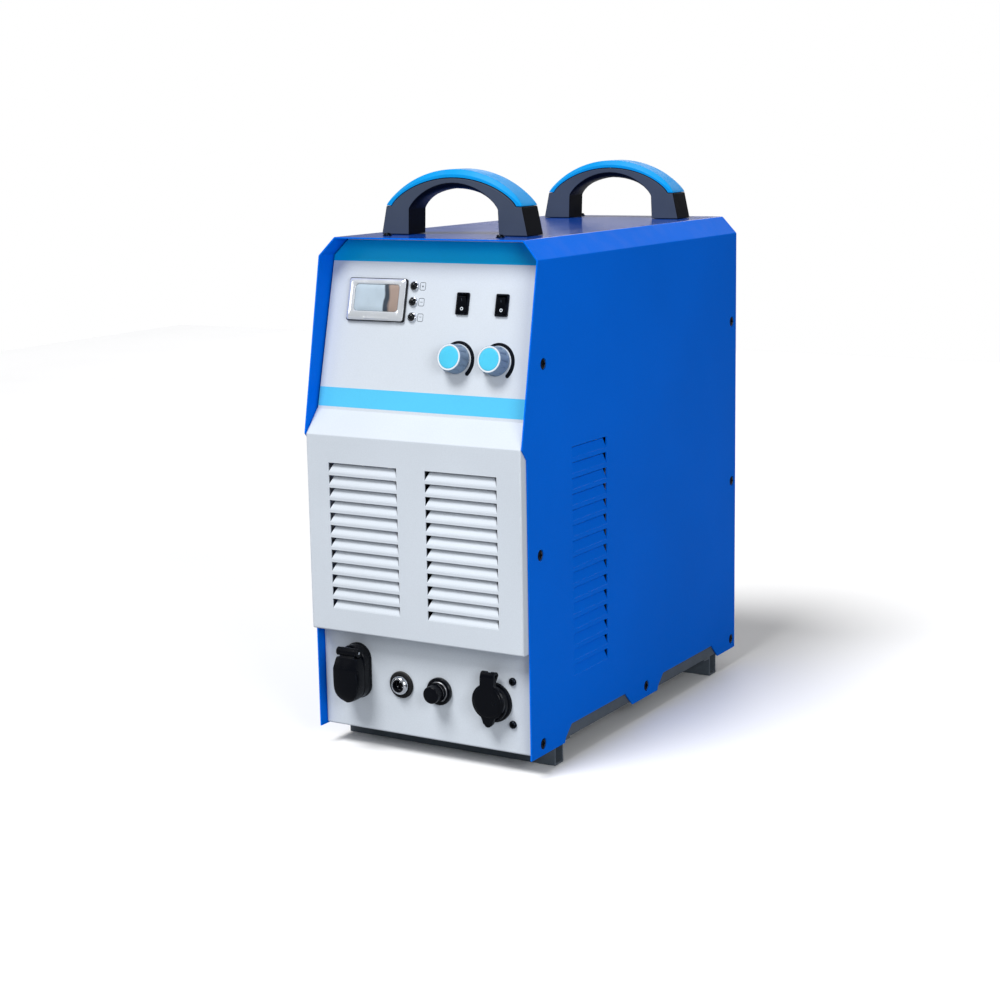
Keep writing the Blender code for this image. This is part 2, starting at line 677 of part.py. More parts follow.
def make_torch_socket(sockets):
    """Upright housing with a round cavity, two hinge lugs, a brass insert and a deep flip lid."""
    location = (*TORCH, 0)
    sides, front = 24, TORCH_BODY_DEPTH
    body = bmesh.new()
    loops = [oval(13.0, 13.0, z, sides) for z in (-30, GAP)]
    loops += [stadium(*TORCH_HALF, z, sides) for z in (GAP, front)]
    loops += [oval(10.8, 10.8, z, sides) for z in (front, -22)]
    add_loops(body, loops)
    body = finish("torch_socket_body", body, "black_plastic", sockets, location)
    lugs = bmesh.new()
    radius, root = 4.2, front - 3
    outline = lug_outline(TORCH_PIN, radius, (TORCH_PIN[0] - radius, root), (TORCH_PIN[0] - 1, root))
    for side in (-1, 1):
        ends = sorted((side * 8.8, side * 12.0))
        add_prism(lugs, outline, *ends, "X")
    boolean(body, "UNION", tool("torch_lugs", lugs, sockets, location))
    boolean(body, "DIFFERENCE", pin_bore("torch_lug_bore", sockets, location, TORCH_PIN, 16))
    insert = bmesh.new()
    add_turned(insert, [(10.3, -21.6), (10.3, 6.0), (6.6, 6.0), (6.6, -21.6)], 20, closed=True)
    finish("torch_socket_insert", insert, "brass", sockets, location)
    make_pin("torch_lid_pin", sockets, TORCH, TORCH_PIN, 12.4)
    make_torch_lid(sockets)


def make_torch_lid(sockets):
    """The lid in coordinates about its pin: a hollow shell with a sloping brow over a round-ended face."""
    pin_z, pin_out = TORCH_PIN
    hinge = (TORCH[0], TORCH[1] + pin_z, pin_out)
    back, face = TORCH_BODY_DEPTH + 0.5 - pin_out, TORCH_LID_FRONT - pin_out
    chin = -27.8 - pin_z
    side = arc((0, 0), 4.4, -90, 75, 6) + [(-3.2, 4.2), (5.6 - pin_z, face)]
    side += [(chin + 8, face - 0.8), (chin, face - 4.6), (chin, back), (0, back)]
    lid = bmesh.new()
    add_prism(lid, side, -14.8, 14.8, "X")
    lid = finish("torch_socket_lid", lid, "black_plastic", sockets, hinge)
    half_width, waist = 14.8, -8 - pin_z
    chin_curve = [(x * half_width, waist - y * (waist - chin)) for x, y in arc((0, 0), 1, 0, 180, 12)]
    outline = chin_curve + [(-half_width, -8), (-12.6, 6), (12.6, 6), (half_width, -8)]
    shape = bmesh.new()
    add_prism(shape, outline, -20, 20)
    boolean(lid, "INTERSECT", tool("torch_lid_shape", shape, sockets, hinge))
    pocket = bmesh.new()
    add_loops(pocket, [oval(12.4, 16.0, z, 20, (0, -pin_z - 6)) for z in (-12, face - 3)])
    boolean(lid, "DIFFERENCE", tool("torch_lid_pocket", pocket, sockets, hinge))
    relief = bmesh.new()
    for x in (-14.2, 14.2):
        add_box(relief, (x - 6, -5.2, -12), (x + 6, 12, 12))
    boolean(lid, "DIFFERENCE", tool("torch_lid_relief", relief, sockets, hinge))
    boolean(lid, "DIFFERENCE", pin_bore("torch_lid_bore", sockets, hinge, (0, 0), 16))


def make_earth_socket(sockets):
    """Round housing with a centre hinge lug, a brass insert and a disc lid."""
    location = (*EARTH, 0)
    sides, front = 24, 9.0
    body = bmesh.new()
    profile = [(12.0, -28), (12.0, GAP), (19.5, GAP), (19.5, 3.5), (17.6, front), (11.0, front)]
    add_turned(body, profile + [(11.0, -24)], sides)
    body = finish("earth_socket_body", body, "black_plastic", sockets, location)
    lug = bmesh.new()
    root = 14.0
    outline = lug_outline(EARTH_PIN, 3.4, (root, EARTH_PIN[1]), (root, 2.0))
    add_prism(lug, outline, -2.3, 2.3, "X")
    boolean(body, "UNION", tool("earth_lug", lug, sockets, location))
    boolean(body, "DIFFERENCE", pin_bore("earth_lug_bore", sockets, location, EARTH_PIN, 6))
    insert = bmesh.new()
    add_turned(insert, [(10.5, -23.6), (10.5, 5.5), (6.8, 5.5), (6.8, -23.6)], 20, closed=True)
    finish("earth_socket_insert", insert, "brass", sockets, location)
    make_pin("earth_lid_pin", sockets, EARTH, EARTH_PIN, 6.2)
    make_earth_lid(sockets, front + 0.5)


def make_earth_lid(sockets, back):
    pin_z, pin_out = EARTH_PIN
    hinge = (EARTH[0], EARTH[1] + pin_z, pin_out)
    face = 14.4
    side = arc((0, 0), 4.3, -90, 90, 6)
    side += [(-2, face - pin_out), (-16 - pin_z, face - pin_out), (-22 - pin_z, 12.8 - pin_out)]
    side += [(-22 - pin_z, back - pin_out), (-6, back - pin_out)]
    lid = bmesh.new()
    add_prism(lid, side, -16, 16, "X")
    lid = finish("earth_socket_lid", lid, "black_plastic", sockets, hinge)
    shape = bmesh.new()
    turns = arc((0, 2 - pin_z), 16.2, -65, 65, 10)
    outline = [(4.5, -22 - pin_z)] + turns + [(6.5, 6), (-6.5, 6)]
    outline += [(-x, z) for x, z in reversed(turns)] + [(-4.5, -22 - pin_z)]
    add_prism(shape, outline, -20, 20)
    boolean(lid, "INTERSECT", tool("earth_lid_shape", shape, sockets, hinge))
    relief = bmesh.new()
    add_box(relief, (-2.7, -8, -12), (2.7, 12, 3.8))
    boolean(lid, "DIFFERENCE", tool("earth_lid_relief", relief, sockets, hinge))
    boolean(lid, "DIFFERENCE", pin_bore("earth_lid_bore", sockets, hinge, (0, 0), 16))


def make_control_socket(sockets):
    """Round threaded connector with a gasket, and an insulator that carries its pins."""
    location = (*CONTROL, 0)
    gasket = bmesh.new()
    add_turned(gasket, [(10.0, GAP), (13.4, GAP), (13.4, 1.6), (12.6, 2.6), (10.0, 2.6)], 20, closed=True)
    finish("control_socket_gasket", gasket, "rubber", sockets, location)
    shell = bmesh.new()
    ring = [(6.4, 7.6), (6.4, 3.0), (8.0, 2.0), (8.0, -13), (9.5, -13), (9.5, 3.4), (8.6, 6.0), (7.0, 7.6)]
    add_turned(shell, ring, 20, closed=True)
    finish("control_socket_shell", shell, "chrome", sockets, location)
    core = bmesh.new()
    add_turned(core, [(0, -12.6), (7.6, -12.6), (7.6, 1.4), (0, 1.4)], 16)
    core = finish("control_socket_core", core, "black_plastic", sockets, location)
    pins = bmesh.new()
    for pin in arc((0, 0), 3.4, 90, 330, 2):
        add_turned(pins, [(0, -5), (0.9, -5), (0.9, 3.4), (0, 3.8)], 8, pin)
    boolean(core, "UNION", tool("control_socket_pins", pins, sockets, location))


def make_regulator(sockets):
    """Air pressure regulator behind the panel, with a ring nut, a turning spindle and a pull-out knob."""
    location = (*REGULATOR, 0)
    sides = 16
    body = bmesh.new()
    loops = [square(18.0, z, sides) for z in (-50, -2.0)]
    loops += [oval(10.0, 10.0, z, sides) for z in (-2.0, 7.4)]
    loops += [oval(4.0, 4.0, z, sides) for z in (7.4, -30)]
    add_loops(body, loops)
    finish("regulator_body", body, "aluminium", sockets, location)
    nut = bmesh.new()
    add_turned(nut, [(10.6, GAP), (13.5, GAP), (13.5, 3.6), (12.8, 4.4), (10.6, 4.4)], 20, closed=True)
    finish("regulator_ring_nut", nut, "black_plastic", sockets, location)
    spindle = bmesh.new()
    add_turned(spindle, [(0, -28), (3.0, -28), (3.0, 14.4), (0, 14.4)], 12)
    finish("regulator_spindle", spindle, "zinc_steel", sockets, location)
    knob = bmesh.new()
    profile = [(3.5, 8.0), (8.6, 8.0), (8.6, 17.4), (7.9, 18.3), (0, 18.5)]
    add_turned(knob, [(0, 14.9), (3.5, 14.9)] + profile, 18)
    finish("regulator_knob", knob, "black_plastic", sockets, location)


# Rear services -----------------------------------------------------------------------------------------

def make_fan(rear):
    location = (*FAN, 0)
    sides = 32
    near, far = -SHEET - GAP, -SHEET - GAP - FAN_DEPTH
    housing = bmesh.new()
    loops = [square(FAN_HALF, near, sides), square(FAN_HALF, far, sides)]
    loops += [oval(DUCT_RADIUS, DUCT_RADIUS, z, sides) for z in (far, near)]
    add_loops(housing, loops, closed=True)
    housing = finish("fan_frame", housing, "black_plastic", rear, location)
    mount = bmesh.new()
    add_turned(mount, [(0, far + 0.5), (24, far + 0.5), (24, far + 4), (0, far + 4)], 16)
    spider = tool("fan_motor_mount", mount, rear, location)
    for i in range(2):
        bar = bmesh.new()
        add_box(bar, (-DUCT_RADIUS - 3, -4, far + 1), (DUCT_RADIUS + 3, 4, far + 3.5))
        turned = tool("fan_arm_%d" % i, bar, rear, location, (0, 0, 45 + 90 * i))
        boolean(spider, "UNION", turned)
    boolean(housing, "UNION", spider)
    bores = bmesh.new()
    add_turned(bores, [(3.2, far - 2), (3.2, far + 6)], 16)
    for x in (-FAN_SCREW, FAN_SCREW):
        for y in (-FAN_SCREW, FAN_SCREW):
            add_turned(bores, [(SCREW_HOLE, near - 14), (SCREW_HOLE, near + 4)], 8, (x, y))
    boolean(housing, "DIFFERENCE", tool("fan_frame_bores", bores, rear, location))
    make_fan_rotor(rear, location, far + 5, near - 4)
    make_fan_guard(rear, location)


def make_fan_rotor(rear, location, back, front):
    """Seven pitched blades on a hub, with a shaft that runs in the motor mount."""
    rotor = bmesh.new()
    shaft = [(0, back - 4.5), (2.6, back - 4.5), (2.6, back)]
    add_turned(rotor, shaft + [(26, back), (26, front - 2), (24, front), (0, front)], 21)
    rotor = finish("fan_rotor", rotor, "black_plastic", rear, location)
    blades = bmesh.new()
    middle = (back + front) / 2
    for i in range(7):
        turn = Matrix.Rotation(math.tau * i / 7, 4, "Z")
        loops = []
        for radius, chord, pitch in ((24, 24, 48), (72, 34, 30)):
            lean = math.radians(pitch)
            along = Vector((0, math.cos(lean), math.sin(lean))) * chord / 2
            across = Vector((0, -math.sin(lean), math.cos(lean))) * 1.0
            centre = Vector((radius, 0, middle))
            corners = (along + across, -along + across, -along - across, along - across)
            loops.append([turn @ (centre + corner) for corner in corners])
        add_loops(blades, loops)
    boolean(rotor, "UNION", tool("fan_blades", blades, rear, location))


def make_fan_guard(rear, location):
    """Concentric rings on four arms that reach the corner screws."""
    low, high = GUARD_LIFT, GUARD_LIFT + GUARD_WIRE
    guard = bmesh.new()
    arm = (FAN_SCREW + 4) * math.sqrt(2)
    add_box(guard, (-arm, -3.5, GAP + 0.1), (arm, 3.5, high))
    guard = finish("fan_guard", guard, "zinc_steel", rear, location, (0, 0, 45))
    second = bmesh.new()
    add_box(second, (-3.5, -arm, GAP + 0.1), (3.5, arm, high))
    boolean(guard, "UNION", tool("guard_arm", second, rear, location, (0, 0, 45)))
    rings = bmesh.new()
    for radius in (16, 31, 46, 61, 76):
        ring = [(radius - 0.9, low), (radius + 0.9, low), (radius + 0.9, high + 0.4)]
        add_turned(rings, ring + [(radius - 0.9, high + 0.4)], 20, closed=True)
    boolean(guard, "UNION", tool("guard_rings", rings, rear, location))
    bores = bmesh.new()
    for x in (-FAN_SCREW, FAN_SCREW):
        for y in (-FAN_SCREW, FAN_SCREW):
            add_turned(bores, [(SCREW_HOLE, -2), (SCREW_HOLE, 8)], 8, (x, y))
    boolean(guard, "DIFFERENCE", tool("guard_bores", bores, rear, location))


def make_breaker(rear):
    """Mains circuit breaker with a tilting lever, off at rest."""
    location = (*BREAKER, 0)
    body = bmesh.new()
    steps = ((27.0, 40.0, -60), (27.0, 40.0, -2.0), (26.5, 22.5, -2.0), (26.5, 22.5, 5.0))
    steps += ((20.0, 9.5, 5.0), (20.0, 9.5, -6.5))
    add_loops(body, [rectangle(x, y, z) for x, y, z in steps])
    body = finish("breaker_body", body, "clear_frame", rear, location)
    bore = bmesh.new()
    add_prism(bore, arc((0, 0), 2.1, 0, 330, 11), -22.6, 22.6, "X")
    boolean(body, "DIFFERENCE", tool("breaker_bore", bore, rear, location))
    lever = bmesh.new()
    outline = arc((0, 0), 5.0, 65, -245, 9) + [(-1.7, 13.0), (1.7, 13.0)]
    add_prism(lever, outline, -18, 18, "X")
    tilt = (LEVER_TILT, 0, 0)
    lever = finish("breaker_lever", lever, "black_plastic", rear, location, tilt)
    trunnions = bmesh.new()
    add_prism(trunnions, arc((0, 0), 1.5, 0, 315, 7), -22, 22, "X")
    boolean(lever, "UNION", tool("lever_trunnions", trunnions, rear, location, tilt))


def make_rear_fittings(rear):
    gland = bmesh.new()
    ring = [(8.0, -14), (11.6, -14), (11.6, GAP), (16.5, GAP), (16.5, 6.0), (14.2, 7.0), (14.2, 15.0)]
    add_turned(gland, ring + [(11.0, 20.0), (8.0, 21.0)], 18, closed=True)
    finish("cable_gland", gland, "black_plastic", rear, (*GLAND, 0))
    inlet = bmesh.new()
    ring = [(3.0, -12), (6.0, -12), (6.0, GAP), (9.5, GAP), (9.5, 5.5), (5.4, 6.5), (5.4, 9.0)]
    ring += [(6.4, 10.0), (5.2, 14.0), (6.4, 15.0), (5.2, 19.0), (6.2, 20.0)]
    ring += [(4.8, AIR_INLET_LENGTH), (3.0, AIR_INLET_LENGTH)]
    add_turned(inlet, ring, 12, closed=True)
    finish("air_inlet", inlet, "brass", rear, (*AIR_INLET, 0))
    terminal = bmesh.new()
    washer = [(0, -9), (2.7, -9), (2.7, GAP), (8.0, GAP), (8.0, 1.8)]
    add_turned(terminal, washer + [(6.0, 1.8), (6.0, 7.0), (2.7, 7.0), (2.7, 12), (0, 12)], 12)
    finish("earth_terminal", terminal, "zinc_steel", rear, (*EARTH_STUD, 0))


# Inside ------------------------------------------------------------------------------------------------


def make_chassis_bracket(case):
    """An arch of sheet on the tray that carries the power stage."""
    path = [(-SHELF_HALF, TRAY_FLOOR), (-SHELF_HALF, SHELF_TOP)]
    path += [(-x, z) for x, z in reversed(path)]
    arch = bmesh.new()
    add_prism(arch, path + offset_path(path, SHEET)[::-1], SHELF_FRONT, SHELF_REAR, "Y")
    finish("chassis_bracket", arch, "zinc_steel", case)


def make_power_stage(case):
    """A finned heatsink in the fan's air stream, with the power board and its capacitors on top."""
    fins, half, fin = 16, 100.0, 3.5
    fin_low, base_low, base_high = SHELF_TOP + GAP, 300.0, 308.0
    outline = [(-half, base_high), (half, base_high)]
    pitch = (2 * half - fin) / (fins - 1)
    for i in range(fins):
        right = half - i * pitch
        if i:
            outline.append((right, base_low))
        outline += [(right, fin_low), (right - fin, fin_low)]
        if i < fins - 1:
            outline.append((right - fin, base_low))
    sink = bmesh.new()
    add_prism(sink, outline, SHELF_FRONT + 5, SHELF_REAR - 5, "Y")
    finish("heatsink", sink, "aluminium", case)
    board_low = base_high + GAP
    board = bmesh.new()
    add_box(board, (-104, 150, board_low), (104, 402, board_low + 1.6))
    board = finish("power_board", board, "circuit_green", case)
    capacitors = bmesh.new()
    for x in (-72, -24, 24, 72):
        for y in (195, 345):
            profile = [(0, board_low + 0.8), (17, board_low + 0.8), (17, 356), (15.5, 357), (0, 357)]
            add_turned(capacitors, profile, 12, (x, y))
    boolean(board, "UNION", tool("capacitors", capacitors, case))


def make_transformer(case):
    """A window core with a copper winding round each limb, on the tray."""
    centre_x, low_y, high_y = -40.0, 190.0, 230.0
    corners = ((-1, -1), (1, -1), (1, 1), (-1, 1))
    outer = [(centre_x + 45 * i, TRAY_FLOOR + 40 + 40 * j) for i, j in corners]
    inner = [(centre_x + 25 * i, TRAY_FLOOR + 40 + 22 * j) for i, j in corners]
    core = bmesh.new()
    loops = []
    for outline, y in ((outer, low_y), (outer, high_y), (inner, high_y), (inner, low_y)):
        loops.append([(x, y, z) for x, z in outline])
    add_loops(core, loops, closed=True)
    core = finish("transformer", core, "copper", case)
    coils = bmesh.new()
    for side in (-35, 35):
        middle = (centre_x + side, (low_y + high_y) / 2)
        add_loops(coils, [rectangle(19, 29, TRAY_FLOOR + z, middle) for z in (20, 60)])
    boolean(core, "UNION", tool("windings", coils, case))


def make_solenoid_valve(case):
    """The air valve on its pedestal, with its coil on top."""
    valve = bmesh.new()
    add_box(valve, (62, 140, 36), (92, 172, 66))
    valve = finish("solenoid_valve", valve, "brass", case)
    ends = bmesh.new()
    add_box(ends, (66, 146, TRAY_FLOOR), (88, 166, 38))
    add_turned(ends, [(0, 64), (12, 64), (12, 100), (0, 100)], 12, (77, 156))
    boolean(valve, "UNION", tool("valve_coil_and_foot", ends, case))


def make_hose(name, case, route):
    points = smooth_route(route, 4)
    curve = bpy.data.curves.new(name, "CURVE")
    curve.dimensions = "3D"
    curve.bevel_depth = 4.0 * MM
    curve.bevel_resolution = 2
    curve.use_fill_caps = True
    spline = curve.splines.new("POLY")
    spline.points.add(len(points) - 1)
    for point, place in zip(spline.points, points):
        point.co = (*(Vector(place) * MM), 1.0)
    curve.materials.append(finish_material("hose_blue"))
    hose = bpy.data.objects.new(name, curve)
    bpy.context.scene.collection.objects.link(hose)
    hose.parent = case


def make_air_hoses(case):
    """From the inlet to the valve, and from the valve to the regulator."""
    inlet_x, inlet_z = -AIR_INLET[0], AIR_INLET[1]
    outlet_x, outlet_z = REGULATOR
    make_hose("rear_air_hose", case, [
        (inlet_x, REAR_FACE - 12.4, inlet_z),
        (inlet_x, 400, inlet_z),
        (inlet_x + 6, 320, 54),
        (inlet_x + 6, 240, 51),
        (77, 190, 51),
        (77, 172.8, 51),
    ])
    make_hose("front_air_hose", case, [
        (77, 139.2, 51),
        (77, 125, 51),
        (60, 100, 51.5),
        (28, 82, 52),
        (outlet_x, 72, outlet_z),
        (outlet_x, SOCKET_PANEL_Y + 50.4, outlet_z),
    ])


def smooth_route(points, steps):
    """Points on a Catmull-Rom curve through the given ones, with straight ends."""
    places = [Vector(point) for point in points]
    places = [places[0] * 2 - places[1]] + places + [places[-1] * 2 - places[-2]]
    smooth = []
    for a, b, c, d in zip(places, places[1:], places[2:], places[3:]):
        for i in range(steps):
            t = i / steps
            bend = (2 * a - 5 * b + 4 * c - d) * t * t + (3 * b - a - 3 * c + d) * t**3
            smooth.append((2 * b + (c - a) * t + bend) / 2)
    return smooth + [places[-2]]


def main():
    clear_scene()
    case = frame("case_frame", None, (0, -CASE_CENTRE_Y, FLOOR_GAP))
    controls = frame("control_frame", case, (0, BEND_Y, BEND_Z), (90 - PANEL_TILT, 0, 0))
    sockets = frame("socket_frame", case, (0, SOCKET_PANEL_Y, 0), (90, 0, 0))
    rear = frame("rear_frame", case, (0, REAR_FACE, 0), (90, 0, 180))
    screw_holes, upper_holes = side_screw_holes(case), top_holes(case)
    bolt_holes = foot_bolt_holes(case)
    make_wrap_cover(case, screw_holes, upper_holes)
    make_front_panel(case, controls, sockets, screw_holes, upper_holes)
    make_rear_panel(case, rear, screw_holes, upper_holes)
    make_base_tray(case, screw_holes, bolt_holes)
    for name, centre in zip(("front_foot", "rear_foot"), FOOT_CENTRES):
        make_foot(name, case, centre, bolt_holes)
    for name, centre in zip(("upper_panel_screw", "lower_panel_screw"), PANEL_SCREWS):
        make_panel_screw(name, sockets, centre)
    for name, front in zip(("front_handle", "rear_handle"), HANDLE_FRONTS):
        make_handle(name, case, front)
    make_meter(controls)
    make_display_board(controls)
    for i, centre in enumerate(INDICATORS):
        make_led_holder("led_holder_%d" % (i + 1), controls, centre)
    for name, centre in SWITCHES.items():
        make_switch(name, controls, centre)
    for name, centre in KNOBS.items():
        make_knob(name, controls, centre)
    make_torch_socket(sockets)
    make_earth_socket(sockets)
    make_control_socket(sockets)
    make_regulator(sockets)
    make_fan(rear)
    make_breaker(rear)
    make_rear_fittings(rear)
    make_chassis_bracket(case)
    make_power_stage(case)
    make_transformer(case)
    make_solenoid_valve(case)
    make_air_hoses(case)


main()
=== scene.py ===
"""Looks of the air plasma cutter power unit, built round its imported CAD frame.

Shapes are modelled in millimetres in a local frame, and placed in metres. Case coordinates: X to the right
seen from the front, Y rearwards from the cover's lower front edge, Z upwards from the cover's lower edge.
Parts on a panel use that panel's frame: X and Y in its face, Z outwards.
"""

import json
import math

import bmesh
import bpy
from mathutils import Matrix, Vector


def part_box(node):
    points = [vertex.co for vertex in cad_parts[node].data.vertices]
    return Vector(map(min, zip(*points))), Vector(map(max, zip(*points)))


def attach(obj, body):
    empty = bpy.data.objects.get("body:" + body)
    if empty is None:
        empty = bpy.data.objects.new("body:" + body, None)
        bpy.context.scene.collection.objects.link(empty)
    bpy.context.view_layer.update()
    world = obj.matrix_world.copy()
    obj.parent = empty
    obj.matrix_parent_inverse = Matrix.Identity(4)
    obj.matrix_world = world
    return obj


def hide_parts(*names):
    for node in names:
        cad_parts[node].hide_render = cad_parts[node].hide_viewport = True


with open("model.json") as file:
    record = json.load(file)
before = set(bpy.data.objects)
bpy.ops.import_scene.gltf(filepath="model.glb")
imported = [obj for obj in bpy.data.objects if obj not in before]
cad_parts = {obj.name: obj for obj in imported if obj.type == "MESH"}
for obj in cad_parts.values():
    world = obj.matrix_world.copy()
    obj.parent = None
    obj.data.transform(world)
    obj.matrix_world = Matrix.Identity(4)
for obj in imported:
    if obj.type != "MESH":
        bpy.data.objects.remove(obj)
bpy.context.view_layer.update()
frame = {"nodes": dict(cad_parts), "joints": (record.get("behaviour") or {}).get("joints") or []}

MM = 0.001

# Case, as in the CAD model
DEPTH = 460.0
SHEET = 1.5
GAP = 0.3
CHAMFER_X, CHAMFER_Z = 16.6, 17.7
TOP_SETBACK = 27.6
NOSE_Y, NOSE_Z = -9.0, 296.0
NOTCHES = ((64.0, 207.0), (264.0, 415.0))
NOTCH_STEPS = ((0.0, 0.0, 0.0), (5.0, 2.4, 5.2), (15.5, 14.0, 16.0))
SOCKET_PANEL_Y = 9.7
LOUVER_BOTTOM_Z = 102.8
BEND_Y, BEND_Z = 10.1, 317.9
PANEL_TILT = 14.0
PANEL_TOP_Z = 480.2
PANEL_FOOT_Z = 1.2
RETURN_Y = 31.5
TOP_FLANGE_Y = 68.0
REAR_FACE = 457.5
COVER_FOLD, FRONT_FOLD, WALL_FOLD = 2.5, 2.0, 1.3

# Louvers
FRONT_LEAN = 4.3
SIDE_LEAN = 2.2
SLOT_TAPER = 4.0
BLADE_SHEET = 1.2
FRONT_SLOTS = {"count": 12, "top": 269.3, "pitch": 12.22, "height": 9.0}
FRONT_COLUMNS = ((-94.4, -16.2), (15.3, 93.6))
SIDE_SLOTS = {"count": 15, "top": 285.4, "pitch": 15.2, "height": 10.5}
SIDE_COLUMN = (84.0, 154.0)

# Fasteners: (Y, Z) on the cover's sides, (X, Y) on its top, and distances from the middle of other parts
SIDE_SCREWS = ((22, 193), (23, 11), (32, 370), (239, 11.5), (451, 11), (451, 192), (449, 369))
SCREW_HOLE = 5.5
SIDE_SCREW_HEIGHT = 2.2
TOP_SCREWS = ((63, 57), (63, 447))
HANDLE_BOLT_X = 65.0
FOOT_BOLT_X = 62.0
FOOT_BOLT_Y = 15.0
FAN_SCREW = 76.0

# Handles: X across the case, Y back from the handle's front face, Z up from its foot
HANDLE_DEPTH = 30.0
HANDLE_BELLY = ((0.0, 0.0), (3.5, 3.2), (9.0, 5.2))
GRIP_CHAMFER = 3.6
ARCH_POWER = 0.76
HANDLE_SHOULDER = (75.8, 27.3)
HANDLE_FOOT = (50.4, 49.5, 24.0)
CROWN_TOP, CROWN_SEAM, CROWN_INNER, SEAM_HALF = 62.0, 54.0, 49.0, 69.5

# Printing on the control panel: the ink's two faces, and heights up the panel of the two bands
INK = (0.01, 0.07)
FINE_INK = (0.01, 0.06)
TOP_BAND = (144.6, 150.0, 165.4)
LOWER_BAND = (3.0, 21.6)
BAND_MARGIN = 1.5
SYMBOL_SHIFT = 9.0

# Controls
LED_COUNT = 3
SWITCH_HOLE = (6.6, 9.6)
ROCKER_TILT = 12.0
ROCKER_HALF, ROCKER_DIP, ROCKER_RISE = 7.4, 2.2, 1.3
ROCKER_MARK = 4.2
KNOB_START = 225.0
KNOB_SWEEP = 270.0
KNOB_FLUTES = 12
FLUTE_DEPTH = 0.9

# Sockets: half width of each hole in the panel, housings, hinge pins and lids
SOCKET_HOLES = (("torch_socket_body", 13.2), ("earth_socket_insert", 12.3), ("control_socket_core", 8.2))
PIN_BORE = 1.9
LID_GAP = 0.5
TORCH_HALF_Y, TORCH_FRONT = 28.0, 12.0
EARTH_FRONT = 9.0
TORCH_LUG_X = 10.4
TORCH_CHIN, TORCH_WAIST, TORCH_FACE = -49.8, -30.0, 9.1
CONNECTOR_PIN_CIRCLE = 3.4

# Rear
GUARD_RINGS = (16, 31, 46, 61, 76)
GUARD_RING_WIRE, GUARD_SPOKE_WIRE = 0.85, 0.95
GUARD_SPOKE_HALF, GUARD_SPOKE_GAP = 101, 2.4
BLADE_COUNT = 7
BLADE_ROOT, BLADE_LENGTH = 24.5, 47.5
LEVER_TILT = 35.0

# Studio and camera
FLOOR_HALF = 3000.0
FLOOR_BOUNCE = "A0A2A6"
OVERHEAD_SPREAD = 25.0
LIGHT_TARGET = (0, 0, 0.3)
AMBIENT = 0.24
OVERHEAD_FROM = (-0.14, -0.5, 0.85)
OVERHEAD_STRENGTH = 2.95
LIGHTS = (
    ("key", (-2.5, -2.1, 1.5), (0.7, 0.7), 6.0, (1.0, 0.99, 0.97)),
    ("side_fill", (1.45, -1.25, 0.8), (0.7, 0.7), 14.0, (0.96, 0.98, 1.0)),
    ("rear_panel_light", (-0.6, 3.6, 1.9), (3.4, 1.8), 24.0, (1.0, 0.93, 0.9)),
)
CAMERA_PLACE = (1.001, -1.747, 0.607)
CAMERA_YAW, CAMERA_PITCH, CAMERA_ROLL = 30.974, 10.935, -1.020
LENS_MM = 70.56

nodes = frame["nodes"]
joints = {joint["name"]: joint for joint in frame["joints"]}


# Local frames ----------------------------------------------------------------


def turn(angle, axis):
    return Matrix.Rotation(math.radians(angle), 4, axis)


def move(x, y, z=0.0):
    return Matrix.Translation((x, y, z))


cover_low, cover_high = (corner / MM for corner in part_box("wrap_cover"))
HALF = cover_high.x
HEIGHT = cover_high.z - cover_low.z
CASE = move(0, cover_high.y - DEPTH, cover_low.z)
CONTROLS = CASE @ move(0, BEND_Y, BEND_Z) @ turn(90 - PANEL_TILT, "X")
SOCKETS = CASE @ move(0, SOCKET_PANEL_Y) @ turn(90, "X")
REAR = CASE @ move(0, REAR_FACE) @ turn(180, "Z") @ turn(90, "X")


def span(place, name):
    """Lowest and highest corner of a CAD node in a local frame."""
    inverse = place.inverted()
    points = [inverse @ (vertex.co / MM) for vertex in nodes[name].data.vertices]
    return Vector(map(min, zip(*points))), Vector(map(max, zip(*points)))


def face_of(place, name):
    """A CAD node's middle in a local frame's face, and half its width and height there."""
    low, high = span(place, name)
    middle = ((low.x + high.x) / 2, (low.y + high.y) / 2)
    return middle, (high.x - low.x) / 2, (high.y - low.y) / 2


def at(place, name):
    """The local frame moved along its face to the middle of a CAD node."""
    return place @ move(*face_of(place, name)[0])


def hinge(place, joint):
    """The local frame moved to a joint's axis."""
    return place @ Matrix.Translation(place.inverted() @ (Vector(joints[joint]["pos_m"]) / MM))


# Objects ---------------------------------------------------------------------


def linked(name, data):
    """A new object of the scene with this data."""
    made = bpy.data.objects.new(name, data)
    bpy.context.scene.collection.objects.link(made)
    return made


def mesh_of(name, solid):
    mesh = bpy.data.meshes.new(name)
    solid.to_mesh(mesh)
    solid.free()
    return mesh


# Solid helpers, which add closed solids to a bmesh ---------------------------


def add_loops(solid, loops, closed=False):
    """Joins loops of points one to the next. A loop of one point is a tip, and open ends are capped."""
    rings = [[solid.verts.new(point) for point in loop] for loop in loops]
    pairs = list(zip(rings, rings[1:]))
    if closed:
        pairs.append((rings[-1], rings[0]))
    for first, second in pairs:
        for i in range(max(len(first), len(second))):
            corners = [first[i % len(first)], first[(i + 1) % len(first)]]
            corners += [second[(i + 1) % len(second)], second[i % len(second)]]
            corners = list(dict.fromkeys(corners))
            if len(corners) > 2:
                solid.faces.new(corners)
    if not closed:
        for ring in (rings[0], rings[-1]):
            if len(ring) > 2:
                solid.faces.new(ring)
    return solid


def joined(loops, closed=False):
    """A new solid of loops joined one to the next."""
    return add_loops(bmesh.new(), loops, closed)


def polar(radius, angle, z):
    return (radius * math.cos(angle), radius * math.sin(angle), z)


